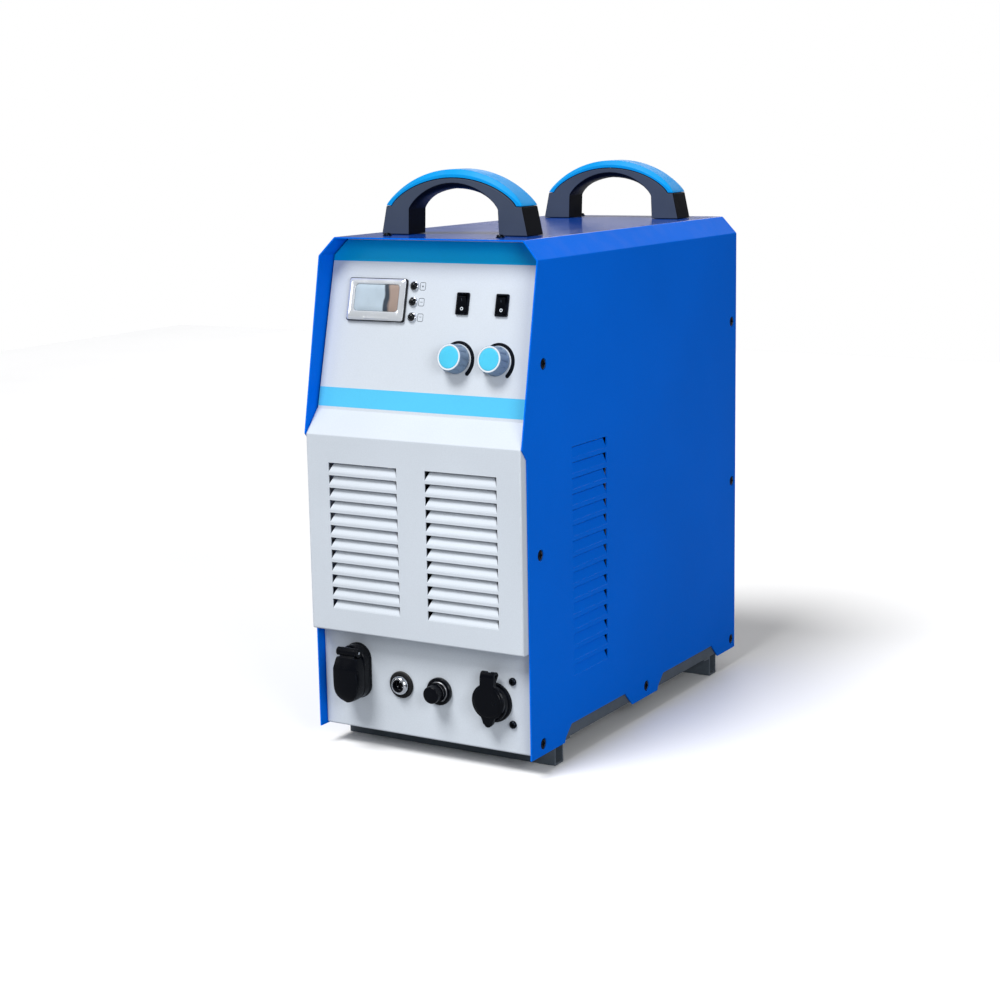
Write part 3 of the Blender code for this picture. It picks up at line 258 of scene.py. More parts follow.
def oval(half_x, half_y, z, segments=48, centre=(0, 0)):
    if half_x == 0:
        return [(centre[0], centre[1], z)]
    angles = [math.tau * i / segments for i in range(segments)]
    return [(centre[0] + half_x * math.cos(a), centre[1] + half_y * math.sin(a), z) for a in angles]


def circles(profile, segments=48, centre=(0, 0)):
    """A round loop for each (radius, height) point."""
    return [oval(r, r, z, segments, centre) for r, z in profile]


def stadium(half_x, half_y, z, segments=48):
    """An upright outline with round ends."""
    straight = half_y - half_x
    return [(x, y + math.copysign(straight, y), z) for x, y, _ in oval(half_x, half_x, z, segments)]


def arc(centre, radius, start, end, steps):
    """Points on a circle from one angle to another, in degrees."""
    angles = [math.radians(start + (end - start) * i / steps) for i in range(steps + 1)]
    return [(centre[0] + radius * math.cos(a), centre[1] + radius * math.sin(a)) for a in angles]


def round_hole(radius, centre=(0, 0)):
    """A circle of 24 points, for holes and pins."""
    return arc(centre, radius, 0, 345, 23)


def panel_loop(half_x, half_y, radius, z, centre=(0, 0), steps=5):
    """A rectangle with rounded corners."""
    points = []
    for i, (x, y) in enumerate(((1, 1), (-1, 1), (-1, -1), (1, -1))):
        corner = (centre[0] + x * (half_x - radius), centre[1] + y * (half_y - radius))
        points += arc(corner, radius, 90 * i, 90 * i + 90, steps)
    return [(x, y, z) for x, y in points]


def hexagon(across, z):
    return [(x, y, z) for x, y in arc((0, 0), across / math.sqrt(3), 0, 300, 5)]


def turned(profile, segments=48, closed=False):
    """(radius, height) points turned about Z. A closed profile makes a ring with an open bore."""
    return joined(circles(profile, segments), closed)


AXIS_ORDER = {"X": (2, 0, 1), "Y": (0, 2, 1), "Z": (0, 1, 2)}


def prism(outline, low, high, axis="Z", solid=None):
    """A closed outline of (Y, Z), (X, Z) or (X, Y) points along the axis X, Y or Z."""
    order = AXIS_ORDER[axis]
    loops = [[tuple((u, v, w)[i] for i in order) for u, v in outline] for w in (low, high)]
    return add_loops(solid or bmesh.new(), loops)


def block(low, high, solid=None):
    corners = [(low[0], low[1]), (high[0], low[1]), (high[0], high[1]), (low[0], high[1])]
    return prism(corners, low[2], high[2], "Z", solid)


def arch(half, shoulder, top, steps):
    """A full-shouldered arch from the right over the top to the left."""
    made = []
    for i in range(steps + 1):
        x = math.cos(math.pi * i / steps)
        made.append((half * x, shoulder + (top - shoulder) * (1 - x * x) ** ARCH_POWER))
    return made


def rounded(points, radius, steps=4):
    """The path with its corners turned into arcs."""
    made = [points[0]]
    for before, corner, after in zip(points, points[1:], points[2:]):
        corner = Vector(corner)
        back, ahead = (Vector(before) - corner).normalized(), (Vector(after) - corner).normalized()
        half_angle = back.angle(ahead) / 2
        centre = corner + (back + ahead).normalized() * radius / math.sin(half_angle)
        start = corner + back * radius / math.tan(half_angle) - centre
        sweep = start.angle_signed(corner + ahead * radius / math.tan(half_angle) - centre)
        for i in range(steps + 1):
            made.append(tuple(centre + Matrix.Rotation(-sweep * i / steps, 2) @ start))
    return made + [points[-1]]


def offset(points, distance):
    """A closed outline, run anticlockwise, moved inwards by the distance, with mitred corners."""
    moved = []
    for before, corner, after in zip(points[-1:] + points[:-1], points, points[1:] + points[:1]):
        first = (Vector(corner) - Vector(before)).normalized()
        second = (Vector(after) - Vector(corner)).normalized()
        inward = Vector((-first.y - second.y, first.x + second.x)).normalized()
        spread = max(0.2, inward.dot(Vector((-first.y, first.x))))
        moved.append(tuple(Vector(corner) + inward * distance / spread))
    return moved


def add_sheet(solid, rows, is_open):
    """A grid of quads with cells left open. The row direction crossed with the column's points outwards."""
    grid = [[solid.verts.new(point) for point in row] for row in rows]
    for i, (low, high) in enumerate(zip(grid, grid[1:])):
        for j in range(len(low) - 1):
            if not is_open(i, j):
                solid.faces.new((low[j], high[j], high[j + 1], low[j + 1]))
    loose = [vertex for vertex in solid.verts if not vertex.link_faces]
    bmesh.ops.delete(solid, geom=loose, context="VERTS")
    return solid


def fused(first, *others):
    """One solid made by Boolean from closed ones. Each of the others is (operation, solid)."""
    made = []
    for solid in [first] + [solid for _, solid in others]:
        bmesh.ops.recalc_face_normals(solid, faces=solid.faces)
        made.append(linked("operand", mesh_of("operand", solid)))
    for operand, (operation, _) in zip(made[1:], others):
        modifier = made[0].modifiers.new(operation, "BOOLEAN")
        modifier.operation = operation
        modifier.object = operand
    graph = bpy.context.evaluated_depsgraph_get()
    result = bmesh.new()
    result.from_mesh(made[0].evaluated_get(graph).to_mesh())
    for operand in made:
        bpy.data.objects.remove(operand)
    return result


def make(
    name, solid, place, finish, node="", body="case", bevel=0.0, segments=2, thickness=0.0, sharp=32
):
    """Links a solid, in a local frame's millimetres, as a piece on a body, in place of a node if named."""
    if not thickness:
        bmesh.ops.recalc_face_normals(solid, faces=solid.faces)
    solid.transform(Matrix.Scale(MM, 4) @ place)
    mesh = mesh_of(name, solid)
    material, slot = finish
    mesh.materials.append(material)
    mesh.shade_smooth()
    mesh.set_sharp_from_angle(angle=math.radians(sharp))
    made = linked(name, mesh)
    if thickness:
        solidify = made.modifiers.new("sheet", "SOLIDIFY")
        solidify.thickness = thickness * MM
        solidify.offset = -1
        solidify.use_even_offset = True
    if bevel:
        soften(made, bevel, segments)
    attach(made, body)
    if node:
        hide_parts(node)
    return made


def soften(obj, width, segments=2):
    """Rounds the sharp edges of a piece and keeps its flat faces flat."""
    modifier = obj.modifiers.new("edges", "BEVEL")
    modifier.width = width * MM
    modifier.segments = segments
    modifier.limit_method = "ANGLE"
    modifier.angle_limit = math.radians(30)
    modifier.harden_normals = True
    weighted = obj.modifiers.new("normals", "WEIGHTED_NORMAL")
    weighted.keep_sharp = True


# Finishes --------------------------------------------------------------------


def srgb(code):
    values = [int(code[i : i + 2], 16) / 255 for i in (0, 2, 4)]
    linear = [v / 12.92 if v <= 0.04045 else ((v + 0.055) / 1.055) ** 2.4 for v in values]
    return (*linear, 1.0)


class Finish:
    """One material's nodes. Scales are in cycles a metre, and textures follow the piece."""

    def __init__(self, name, slot, colour, roughness, metallic=0.0, specular=0.5):
        self.material = bpy.data.materials.new(name)
        self.material.use_nodes = True
        self.material.diffuse_color = srgb(colour)
        self.slot = slot
        self.tree = self.material.node_tree
        self.shader = self.tree.nodes["Principled BSDF"]
        self.shader.inputs["Metallic"].default_value = metallic
        self.shader.inputs["Specular IOR Level"].default_value = specular
        self.place = self.add("TexCoord").outputs["Object"]
        self.colour = srgb(colour)
        self.roughness = roughness
        self.height = None

    def plug(self, socket, value):
        """Links another socket to this one, or sets its value."""
        if isinstance(value, bpy.types.NodeSocket):
            self.tree.links.new(value, socket)
        else:
            socket.default_value = value

    def add(self, kind, inputs=None, **settings):
        node = self.tree.nodes.new("ShaderNode" + kind)
        for key, value in settings.items():
            setattr(node, key, value)
        for key, value in (inputs or {}).items():
            self.plug(node.inputs[key], value)
        return node

    def noise(self, scale, detail=2.0, stretch=(1, 1, 1), tilt=(0, 0, 0)):
        mapped = self.add("Mapping", {"Vector": self.place, "Scale": stretch, "Rotation": tilt})
        inputs = {"Vector": mapped.outputs[0], "Scale": scale, "Detail": detail}
        return self.add("TexNoise", inputs).outputs["Fac"]

    def spread(self, value, low, high, to_low=0.0, to_high=1.0):
        inputs = {"Value": value, "From Min": low, "From Max": high, "To Min": to_low, "To Max": to_high}
        return self.add("MapRange", inputs).outputs[0]

    def maths(self, operation, *values):
        node = self.add("Math", operation=operation)
        for socket, value in zip(node.inputs, values):
            self.plug(socket, value)
        return node.outputs[0]

    def times(self, first, second):
        return self.maths("MULTIPLY", first, second)

    def blend(self, factor, other, how="MIX"):
        """Mixes another colour over the present one."""
        inputs = {0: factor, 6: self.colour, 7: other}
        self.colour = self.add("Mix", inputs, data_type="RGBA", blend_type=how).outputs[2]
        return self

    def mottle(self, scale, amount, detail=2.0, stretch=(1, 1, 1)):
        """Lightens and darkens the colour in patches."""
        shade = self.spread(self.noise(scale, detail, stretch), 0.3, 0.7, 1 - amount, 1 + amount)
        grey = self.add("CombineColor", {"Red": shade, "Green": shade, "Blue": shade}).outputs[0]
        return self.blend(1.0, grey, "MULTIPLY")

    def roughen(self, scale, amount, detail=3.0, stretch=(1, 1, 1)):
        change = self.spread(self.noise(scale, detail, stretch), 0.3, 0.7, -amount, amount)
        self.roughness = self.maths("ADD", self.roughness, change)
        return self

    def relief(self, scale, depth, detail=2.0, stretch=(1, 1, 1)):
        """Raises the surface by noise of the given depth in millimetres."""
        return self.raise_by(self.times(self.noise(scale, detail, stretch), depth))

    def raise_by(self, height):
        self.height = height if self.height is None else self.maths("ADD", self.height, height)
        return self

    def scratches(self, amount):
        """Sparse hairline marks in two directions, which change the gloss."""
        for stretch, tilt in (((1, 60, 60), (0.2, 0.5, 1.1)), ((60, 1, 60), (0.6, 0.1, 0.3))):
            line = self.spread(self.noise(22, 2.0, stretch, tilt), 0.68, 0.76)
            self.roughness = self.maths("ADD", self.roughness, self.times(line, amount))
        return self

    def worn_and_highlit_edges(self, colour, radius, share):
        """Rubs the colour towards another along the edges, in patches: partly wear, partly a painted
        highlight where the edges catch light.
        """
        soft = self.add("Bevel", {"Radius": radius * MM}, samples=4).outputs[0]
        hard = self.add("NewGeometry").outputs["Normal"]
        flat = self.add("VectorMath", {0: soft, 1: hard}, operation="DOT_PRODUCT")
        edge = self.spread(flat.outputs["Value"], 0.995, 0.93)
        patch = self.spread(self.noise(160, 4.0), 0.42, 0.62)
        return self.blend(self.times(self.times(edge, patch), share), srgb(colour))

    def dust(self, share, colour="B9B4AA"):
        """Settles a little dust on what faces up."""
        up = self.add("SeparateXYZ", {"Vector": self.add("NewGeometry").outputs["Normal"]}).outputs["Z"]
        facing = self.spread(up, 0.3, 1.0)
        lying = self.times(facing, self.spread(self.noise(45, 5.0), 0.45, 0.7))
        factor = self.times(lying, share)
        self.roughness = self.maths("ADD", self.roughness, self.times(factor, 0.6))
        return self.blend(factor, srgb(colour))

    def done(self, coat=0.0):
        inputs = self.shader.inputs
        self.plug(inputs["Base Color"], self.colour)
        self.plug(inputs["Roughness"], self.roughness)
        if self.height is not None:
            bump = self.add("Bump", {"Height": self.height, "Distance": MM, "Strength": 1.0})
            self.plug(inputs["Normal"], bump.outputs[0])
        if coat:
            inputs["Coat Weight"].default_value = coat
            inputs["Coat Roughness"].default_value = 0.08
        return self.material, self.slot


def painted(name, slot, colour, edge_wear_and_highlight, roughness, specular=0.5, coat=0.0):
    """Powder coat: orange peel, faint handling marks, rubbed edges that also carry a painted highlight, and
    a little dust.
    """
    made = Finish(name, slot, colour, roughness, specular=specular)
    made.mottle(7, 0.035).mottle(900, 0.025)
    made.roughen(30, 0.04).scratches(0.04)
    made.relief(420, 0.03, 2.0).relief(1600, 0.008, 1.0)
    made.worn_and_highlit_edges(edge_wear_and_highlight, 0.8, 0.55).dust(0.04)
    return made.done(coat)


def moulded(
    name, slot, colour, roughness, grain=0.02, specular=0.5, edge_wear_and_highlight="8A9099",
    metallic=0.0, dusty=0.08, edge_wear_and_highlight_share=0.22,
):
    """Moulded plastic with a spark-eroded grain, scuffed on its edges, which are also lightened as a
    painted highlight.
    """
    made = Finish(name, slot, colour, roughness, metallic, specular)
    made.mottle(25, 0.06).mottle(1800, 0.05)
    made.roughen(60, 0.07).scratches(0.06)
    made.relief(2600, grain, 2.0).relief(300, grain, 1.0)
    made.worn_and_highlit_edges(edge_wear_and_highlight, 0.35, edge_wear_and_highlight_share).dust(dusty)
    return made.done()


def plated(name, slot, colour, roughness, stretch=(1, 1, 1), tarnish=0.12):
    """Bare or plated metal with tool marks and slight tarnish."""
    made = Finish(name, slot, colour, roughness, metallic=1.0)
    made.mottle(90, tarnish, 4.0).mottle(700, 0.06, 2.0, stretch)
    made.roughen(240, 0.08, 3.0, stretch).scratches(0.05)
    made.relief(900, 0.01, 3.0, stretch)
    return made.done()


def steel_paint(name, slot, colour, edge_wear_and_highlight):
    """Satin paint on rough steel, chipped along the edges."""
    made = Finish(name, slot, colour, 0.5, metallic=0.15)
    made.mottle(18, 0.12, 4.0).mottle(600, 0.06)
    made.roughen(50, 0.1).scratches(0.08).relief(500, 0.04, 3.0)
    made.worn_and_highlit_edges(edge_wear_and_highlight, 0.9, 0.5).dust(0.18)
    return made.done()


def rubbery(name, slot, colour):
    """Matt rubber with a fine grain."""
    made = Finish(name, slot, colour, 0.75, specular=0.3)
    made.mottle(80, 0.1, 3.0).roughen(120, 0.08).relief(1500, 0.03, 3.0).dust(0.12)
    return made.done()


def printed(name, slot, colour, roughness=0.4):
    """Screen-printed ink: slightly uneven cover, with the paint's orange peel showing through."""
    made = Finish(name, slot, colour, roughness, specular=0.12)
    made.mottle(12, 0.03).mottle(1500, 0.05).roughen(60, 0.06).scratches(0.05)
    made.relief(420, 0.03, 2.0).relief(3000, 0.004, 1.0)
    return made.done()


def window_painted_reflection(name, slot):
    """A glossy meter window with a soft crease, coloured as a painted reflection: pale blue-grey, with a
    dark band and a tan stretch across it.
    """
    # Painted reflection: the pale blue-grey base colour.
    made = Finish(name, slot, "B2C1CC", 0.3, specular=0.12)
    across = made.add("SeparateXYZ", {"Vector": made.place}).outputs["X"]
    wobble = made.times(made.maths("SUBTRACT", made.noise(60, 2.0), 0.5), 0.006)
    across = made.maths("ADD", across, wobble)
    low, high = (corner.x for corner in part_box("meter_window"))
    dark, tan = low + 0.69 * (high - low), low + 0.80 * (high - low)
    # Painted reflection: a dark band, then a tan stretch, across the window.
    made.blend(made.spread(across, dark - 0.0012, dark + 0.0004), srgb("3E4650"))
    made.blend(made.spread(across, tan - 0.0015, tan + 0.0012), srgb("9C8A80"))
    made.roughen(90, 0.05).mottle(60, 0.05).relief(60, 0.06, 1.0).relief(1400, 0.002, 1.0)
    return made.done()


def dark_lens(name, slot):
    """Smoked lens with a fine moulded texture and a faint warm core."""
    made = Finish(name, slot, "05080B", 0.12, specular=0.25)
    made.mottle(300, 0.3).roughen(200, 0.05).relief(2500, 0.004, 2.0)
    made.blend(made.spread(made.noise(260, 1.0), 0.62, 0.75, 0.0, 0.25), srgb("35402F"))
    return made.done(coat=0.1)


def circuit_board(name, slot):
    """Solder mask over copper tracks, with pads and parts."""
    made = Finish(name, slot, "0F4A26", 0.35)
    tracks = made.add("TexBrick", {"Vector": made.place, "Scale": 90.0, "Mortar Size": 0.06})
    made.blend(made.spread(tracks.outputs["Fac"], 0.0, 1.0, 0.0, 0.6), srgb("2C8A52"))
    cells = made.add("TexVoronoi", {"Vector": made.place, "Scale": 260.0}).outputs["Distance"]
    pads = made.spread(cells, 0.16, 0.12)
    made.blend(pads, srgb("C9CBC4"))
    made.raise_by(made.times(pads, 0.1)).relief(900, 0.02).roughen(120, 0.08).dust(0.15)
    return made.done()


def wound_copper(name, slot):
    """Enamelled wire wound in layers."""
    made = Finish(name, slot, "9A5A2E", 0.32, metallic=0.9)
    turns = made.add("TexWave", {"Vector": made.place, "Scale": 190.0, "Distortion": 0.4})
    turns.bands_direction = "Z"
    made.raise_by(made.times(turns.outputs["Fac"], 0.35))
    made.blend(made.spread(turns.outputs["Fac"], 0.3, 0.0, 0.0, 0.6), srgb("3D1E0C"))
    made.mottle(70, 0.12, 3.0).roughen(90, 0.08).dust(0.1)
    return made.done()


# Each edge colour below is rubbed in along the edges, partly as wear and partly as a painted highlight.
BLUE = painted("blue_powder_coat", "blue_paint", "006BE4", "1C7FEA", 0.32, 0.012)
# The cover's top: the same blue paint made darker as painted shade, with more gloss and a clear coat.
BLUE_TOP_PAINTED_SHADE = painted("blue_top_gloss_painted_shade", "blue_paint", "0050C0", "1C7FEA", 0.2, 0.3, coat=0.5)
GREY = painted("grey_powder_coat", "grey_paint", "CDD4DC", "E8ECF0", 0.42, 0.25)
BASE = steel_paint("base_steel", "base_steel", "545D66", "8D949B")
ZINC = plated("zinc_plate", "zinc_steel", "B5B7BA", 0.34)
BLACK_METAL = plated("blackened_screw", "black_screw", "1E2229", 0.3, tarnish=0.3)
HANDLE_GREY = moulded("handle_face", "handle_black", "434C5C", 0.5, 0.03, 0.12, "5A6372")
# A near-black copy of the handle's moulding: painted shade on the faces that don't face front or rear.
HANDLE_SIDE_PAINTED_SHADE = moulded("handle_side_painted_shade", "handle_black", "0A0C12", 0.4, 0.012, 0.08, "2A303B", dusty=0.02)
HANDLE_BLUE = moulded("handle_grip", "handle_blue", "0797E0", 0.36, 0.01, 0.1, "4FB8FA")
# The silver frame's edges are lightened to white as a painted highlight.
METER_FRAME = moulded("meter_silver", "meter_frame", "E4E8EC", 0.16, 0.004, 0.5, "FFFFFF", metallic=0.45)
WINDOW = window_painted_reflection("meter_window_painted_reflection", "meter_window")
BOARD = circuit_board("circuit_board", "circuit_green")
CHROME = plated("chrome_plate", "chrome", "D7DADF", 0.14, tarnish=0.08)
# The black moulding's edges are strongly lightened in blue-grey as a painted highlight.
BLACK = moulded(
    "black_moulding", "black_plastic", "05070D", 0.22, 0.006, 0.12, "3A4250", dusty=0.015, edge_wear_and_highlight_share=0.6
)
LENS = dark_lens("smoked_lens", "black_plastic")
RUBBER = rubbery("black_rubber", "rubber", "101114")
KNOB_GREY = moulded("knob_body", "knob_grey", "6F849C", 0.4, 0.01, 0.3, "A9B9CC")
KNOB_CYAN = moulded("knob_face", "knob_cyan", "4CC0E2", 0.38, 0.008, 0.2, "A5E4FA")
WHITE_MARK = printed("white_marking", "meter_frame", "DDE4EA", 0.45)
BRASS = plated("turned_brass", "brass", "C9A563", 0.28, (1, 1, 12))
ALUMINIUM = plated("aluminium", "aluminium", "C4C6CA", 0.36, (1, 9, 1))
COPPER = wound_copper("copper_winding", "copper_winding")
HOSE = moulded("air_hose", "hose_blue", "1B4FA8", 0.42, 0.02)
CYAN_INK = printed("cyan_ink", "knob_cyan", "00A8E0")
PALE_CYAN_INK = printed("pale_cyan_ink", "knob_cyan", "55BEE6")
BLACK_INK = printed("black_ink", "black_plastic", "0A0E16")
GREY_INK = printed("grey_ink", "black_plastic", "424A54")

CAD_FINISHES = {
    "base_tray": BASE,
    "front_foot": BASE,
    "rear_foot": BASE,
    "rear_panel": GREY,
    "chassis_bracket": ZINC,
    "current_pot": ZINC,
    "current_pot_shaft": ZINC,
    "time_pot": ZINC,
    "time_pot_shaft": ZINC,
    "torch_lid_pin": CHROME,
    "earth_lid_pin": CHROME,
    "regulator_spindle": ZINC,
    "fan_frame": BLACK,
    "power_board": BOARD,
    "heatsink": ALUMINIUM,
    "transformer": COPPER,
    "solenoid_valve": BRASS,
    "rear_air_hose": HOSE,
    "front_air_hose": HOSE,
}
CAD_EDGES = {"base_tray": 0.4, "front_foot": 0.7, "rear_foot": 0.7, "rear_panel": 0.35, "fan_frame": 0.8}


def finish_cad_nodes():
    """Gives the CAD nodes that stay their detailed materials, and softens their folded edges."""
    for name, (material, _) in CAD_FINISHES.items():
        node = nodes[name]
        if not node.material_slots:
            node.data.materials.append(material)
        for slot in node.material_slots:
            slot.material = material
        if name in CAD_EDGES:
            weld = node.modifiers.new("weld", "WELD")
            weld.merge_threshold = 0.00001
            soften(node, CAD_EDGES[name])


# Case sheet metal ------------------------------------------------------------


def louver_tops(slots):
    return [slots["top"] - slots["pitch"] * i for i in range(slots["count"])]


def front_edge(z):
    """How far back the cover's front edge is at a height."""
    if z <= SIDE_SLOTS["top"]:
        return 0.0
    if z <= NOSE_Z:
        return NOSE_Y * (z - SIDE_SLOTS["top"]) / (NOSE_Z - SIDE_SLOTS["top"])
    return NOSE_Y + (TOP_SETBACK - NOSE_Y) * (z - NOSE_Z) / (HEIGHT - NOSE_Z)


def cover_row(x, z):
    """The cover's points at one place on its section, from front to rear, with slanted notch ends."""
    start, end = [step for step in NOTCH_STEPS if step[0] <= z][-1][1:]
    (first, second), (third, fourth) = NOTCHES
    depths = [front_edge(z), first + start, *SIDE_COLUMN, second - end, third + start, fourth - end, DEPTH]
    return [(x, y, z) for y in depths]


def make_cover():
    """The folded cover: two sides and a top with chamfered corners, louvers and feet notches."""
    levels = [step[0] for step in NOTCH_STEPS] + [NOSE_Z]
    for top in louver_tops(SIDE_SLOTS):
        levels += [top - SIDE_SLOTS["height"], top]
    levels.sort()
    bends = [(-HALF, NOSE_Z), (-HALF, HEIGHT - CHAMFER_Z), (CHAMFER_X - HALF, HEIGHT), (0, HEIGHT)]
    left = [(-HALF, z) for z in levels] + rounded(bends, COVER_FOLD)[1:-1]
    section = left + [(-x, z) for x, z in reversed(left)]
    openings = {round(top, 2) for top in louver_tops(SIDE_SLOTS)}

    def is_open(i, j):
        (x, low), (other_x, high) = section[i], section[i + 1]
        if x != other_x:
            return False
        low, high = sorted((low, high))
        if high <= NOTCH_STEPS[-1][0]:
            return j in (1, 2, 3, 5)
        return j == 2 and round(high, 2) in openings

    shell = add_sheet(bmesh.new(), [cover_row(x, z) for x, z in section], is_open)
    bmesh.ops.recalc_face_normals(shell, faces=shell.faces)
    bmesh.ops.solidify(shell, geom=shell.faces, thickness=SHEET)
    holes = bmesh.new()
    for side in (1, -1):
        for y, z in SIDE_SCREWS:
            hole = [(side * (HALF + 2), y + u, z + v) for u, v in round_hole(SCREW_HOLE)]
            add_loops(holes, [hole, [(side * (HALF - 4), u, v) for _, u, v in hole]])
    shell = fused(shell, ("DIFFERENCE", holes))
    shell = make("cover_shell", shell, CASE, BLUE, "wrap_cover", bevel=0.35)
    # The cover's upward faces get the darker blue copy, painted shade on its top.
    shell.data.materials.append(BLUE_TOP_PAINTED_SHADE[0])
    for polygon in shell.data.polygons:
        polygon.material_index = int(polygon.normal.z > 0.95)
    make_louvers("cover_louvers_right", in_right_side, SIDE_COLUMN, SIDE_SLOTS, SIDE_LEAN, BLUE)
    make_louvers("cover_louvers_left", in_left_side, SIDE_COLUMN, SIDE_SLOTS, SIDE_LEAN, BLUE)


def in_right_side(along, height, depth):
    return (HALF - depth, along, height)


def in_left_side(along, height, depth):
    return (depth - HALF, along, height)


def in_front(along, height, depth):
    return (along, NOSE_Y + depth, height)


def make_louvers(name, place, column, slots, lean, finish):
    """One column of louver blades, placed in the cover's side or the front."""
    blades = bmesh.new()
    for top in louver_tops(slots):
        add_blade(blades, place, *column, top, slots["height"], lean)
    make(name, blades, CASE, finish, bevel=0.3)


def add_blade(solid, place, start, end, top, height, lean_in):
    """A louver's blade: bent out of the sheet along the bottom, leaning inwards to a narrower top edge."""
    near, far = 0.05, 0.05 + BLADE_SHEET
    loops = []
    for rise, lean in ((-0.8, 0.0), (0.4, 0.1), (1.4, 0.45), (height - 1.2, lean_in)):
        taper = SLOT_TAPER * max(0.0, rise) / height
        left, right = start + 0.2 + taper, end - 0.2 - taper
        z = top - height + rise
        loop = ((left, near), (right, near), (right, far), (left, far))
        loops.append([place(u, z, w + lean) for u, w in loop])
    add_loops(solid, loops)


def front_path():
    """The front panel's outer face from the side (Y, Z), from its foot to the top, with folded corners."""
    top_y = BEND_Y + (PANEL_TOP_Z - BEND_Z) * math.tan(math.radians(PANEL_TILT))
    corners = [(RETURN_Y, PANEL_FOOT_Z), (SOCKET_PANEL_Y, PANEL_FOOT_Z)]
    corners += [(SOCKET_PANEL_Y, LOUVER_BOTTOM_Z), (NOSE_Y, LOUVER_BOTTOM_Z), (NOSE_Y, NOSE_Z)]
    corners += [(BEND_Y, BEND_Z), (top_y, PANEL_TOP_Z), (TOP_FLANGE_Y, PANEL_TOP_Z)]
    return rounded(corners, FRONT_FOLD)


def split_path(path, heights):
    """The path with more points where it crosses the given heights."""
    made = path[:1]
    for before, after in zip(path, path[1:]):
        for z in sorted(heights):
            if before[1] + 0.01 < z < after[1] - 0.01:
                share = (z - before[1]) / (after[1] - before[1])
                made.append((before[0] + share * (after[0] - before[0]), z))
        made.append(after)
    return made


def panel_openings():
    """Openings through the front panel, as (left, right, low, high) with heights in case coordinates."""
    found = []
    for left, right in FRONT_COLUMNS:
        for top in louver_tops(FRONT_SLOTS):
            found.append((left, right, top - FRONT_SLOTS["height"], top))
    for name, half in SOCKET_HOLES:
        x, z, _ = (CASE.inverted() @ at(SOCKETS, name)).translation.xzy
        found.append((x - half, x + half, z - half, z + half))
    for name in ("mode_switch_housing", "test_switch_housing"):
        middle = (CASE.inverted() @ at(CONTROLS, name)).translation
        half, rise = SWITCH_HOLE[0], SWITCH_HOLE[1] * math.cos(math.radians(PANEL_TILT))
        found.append((middle.x - half, middle.x + half, middle.z - rise, middle.z + rise))
    return found


def make_front_panel():
    """One sheet folded six times, with its side walls, louvers and openings."""
    openings = panel_openings()
    edge, wall = HALF - SHEET - GAP, SHEET - 0.1
    corner_z = HEIGHT - CHAMFER_Z - 0.7
    path = split_path(front_path(), {corner_z} | {z for opening in openings for z in opening[2:]})
    columns = {-edge + wall, edge - wall}
    columns |= {x for opening in openings for x in opening[:2]}
    columns = sorted(columns, reverse=True)

    def is_open(i, j):
        (_, low), (_, high) = path[i], path[i + 1]
        x, z = (columns[j] + columns[j + 1]) / 2, (low + high) / 2
        return any(left < x < right and bottom < z < top for left, right, bottom, top in openings)

    rows = []
    for y, z in path:
        inset = edge - panel_edge(z)
        reach = [x - math.copysign(inset, x) if abs(x) > edge - 2 * wall else x for x in columns]
        rows.append([(x, y, z) for x in reach])
    face = add_sheet(bmesh.new(), rows, is_open)
    make("front_sheet", face, CASE, GREY, "front_panel", bevel=0.25, thickness=SHEET)
    make_front_walls(edge, wall)
    for column, name in zip(FRONT_COLUMNS, ("left", "right")):
        make_louvers("front_louvers_" + name, in_front, column, FRONT_SLOTS, FRONT_LEAN, GREY)


def panel_edge(z):
    """How far the front panel reaches sideways at a height, inside the cover's chamfered corners."""
    slope = CHAMFER_X / CHAMFER_Z
    inset = (SHEET + GAP) * math.hypot(1, slope)
    return min(HALF - SHEET - GAP, HALF - inset - (z - HEIGHT + CHAMFER_Z) * slope)


def make_front_walls(edge, wall):
    """The front panel's side walls, rounded where they fold out of its face."""
    outline = [(RETURN_Y, BEND_Z)] + [point for point in front_path() if point[1] < BEND_Z + 3][::-1]
    for side, name in ((-1, "left"), (1, "right")):
        loops = [[(side * (edge - wall), y, z) for y, z in outline]]
        for angle in (0, 30, 60, 90):
            reach = math.radians(angle)
            inset = offset(outline, WALL_FOLD * (1 - math.cos(reach)))
            x = side * (edge - WALL_FOLD + WALL_FOLD * math.sin(reach))
            loops.append([(x, y, z) for y, z in inset])
        make("front_wall_" + name, joined(loops), CASE, GREY)


def make_banners():
    """Two printed cyan bands across the control panel, without lettering."""
    slope = math.cos(math.radians(PANEL_TILT))
    bands = (("top_banner", TOP_BAND, CYAN_INK), ("lower_banner", LOWER_BAND, PALE_CYAN_INK))
    for name, levels, ink in bands:
        side = [(panel_edge(BEND_Z + level * slope) - BAND_MARGIN, level) for level in levels]
        outline = side + [(-x, level) for x, level in reversed(side)]
        make(name, prism(outline, *INK), CONTROLS, ink)


# Fasteners -------------------------------------------------------------------


def cross_loop(arm, half_width, z):
    """Points round a cross recess, at the angles that cross_angles gives."""
    points = []
    for angle in cross_angles(arm, half_width):
        x, y = math.cos(angle), math.sin(angle)
        longer, shorter = max(abs(x), abs(y)), max(min(abs(x), abs(y)), 1e-6)
        reach = min(arm / longer, half_width / shorter)
        points.append((reach * x, reach * y, z))
    return points


def cross_angles(arm, half_width):
    """Angles round a screw head that meet the corners of its cross recess."""
    corner = math.degrees(math.atan2(half_width, arm))
    steps = (0, corner, 30, 45, 60, 90 - corner)
    return [math.radians(90 * quarter + step) for quarter in range(4) for step in steps]


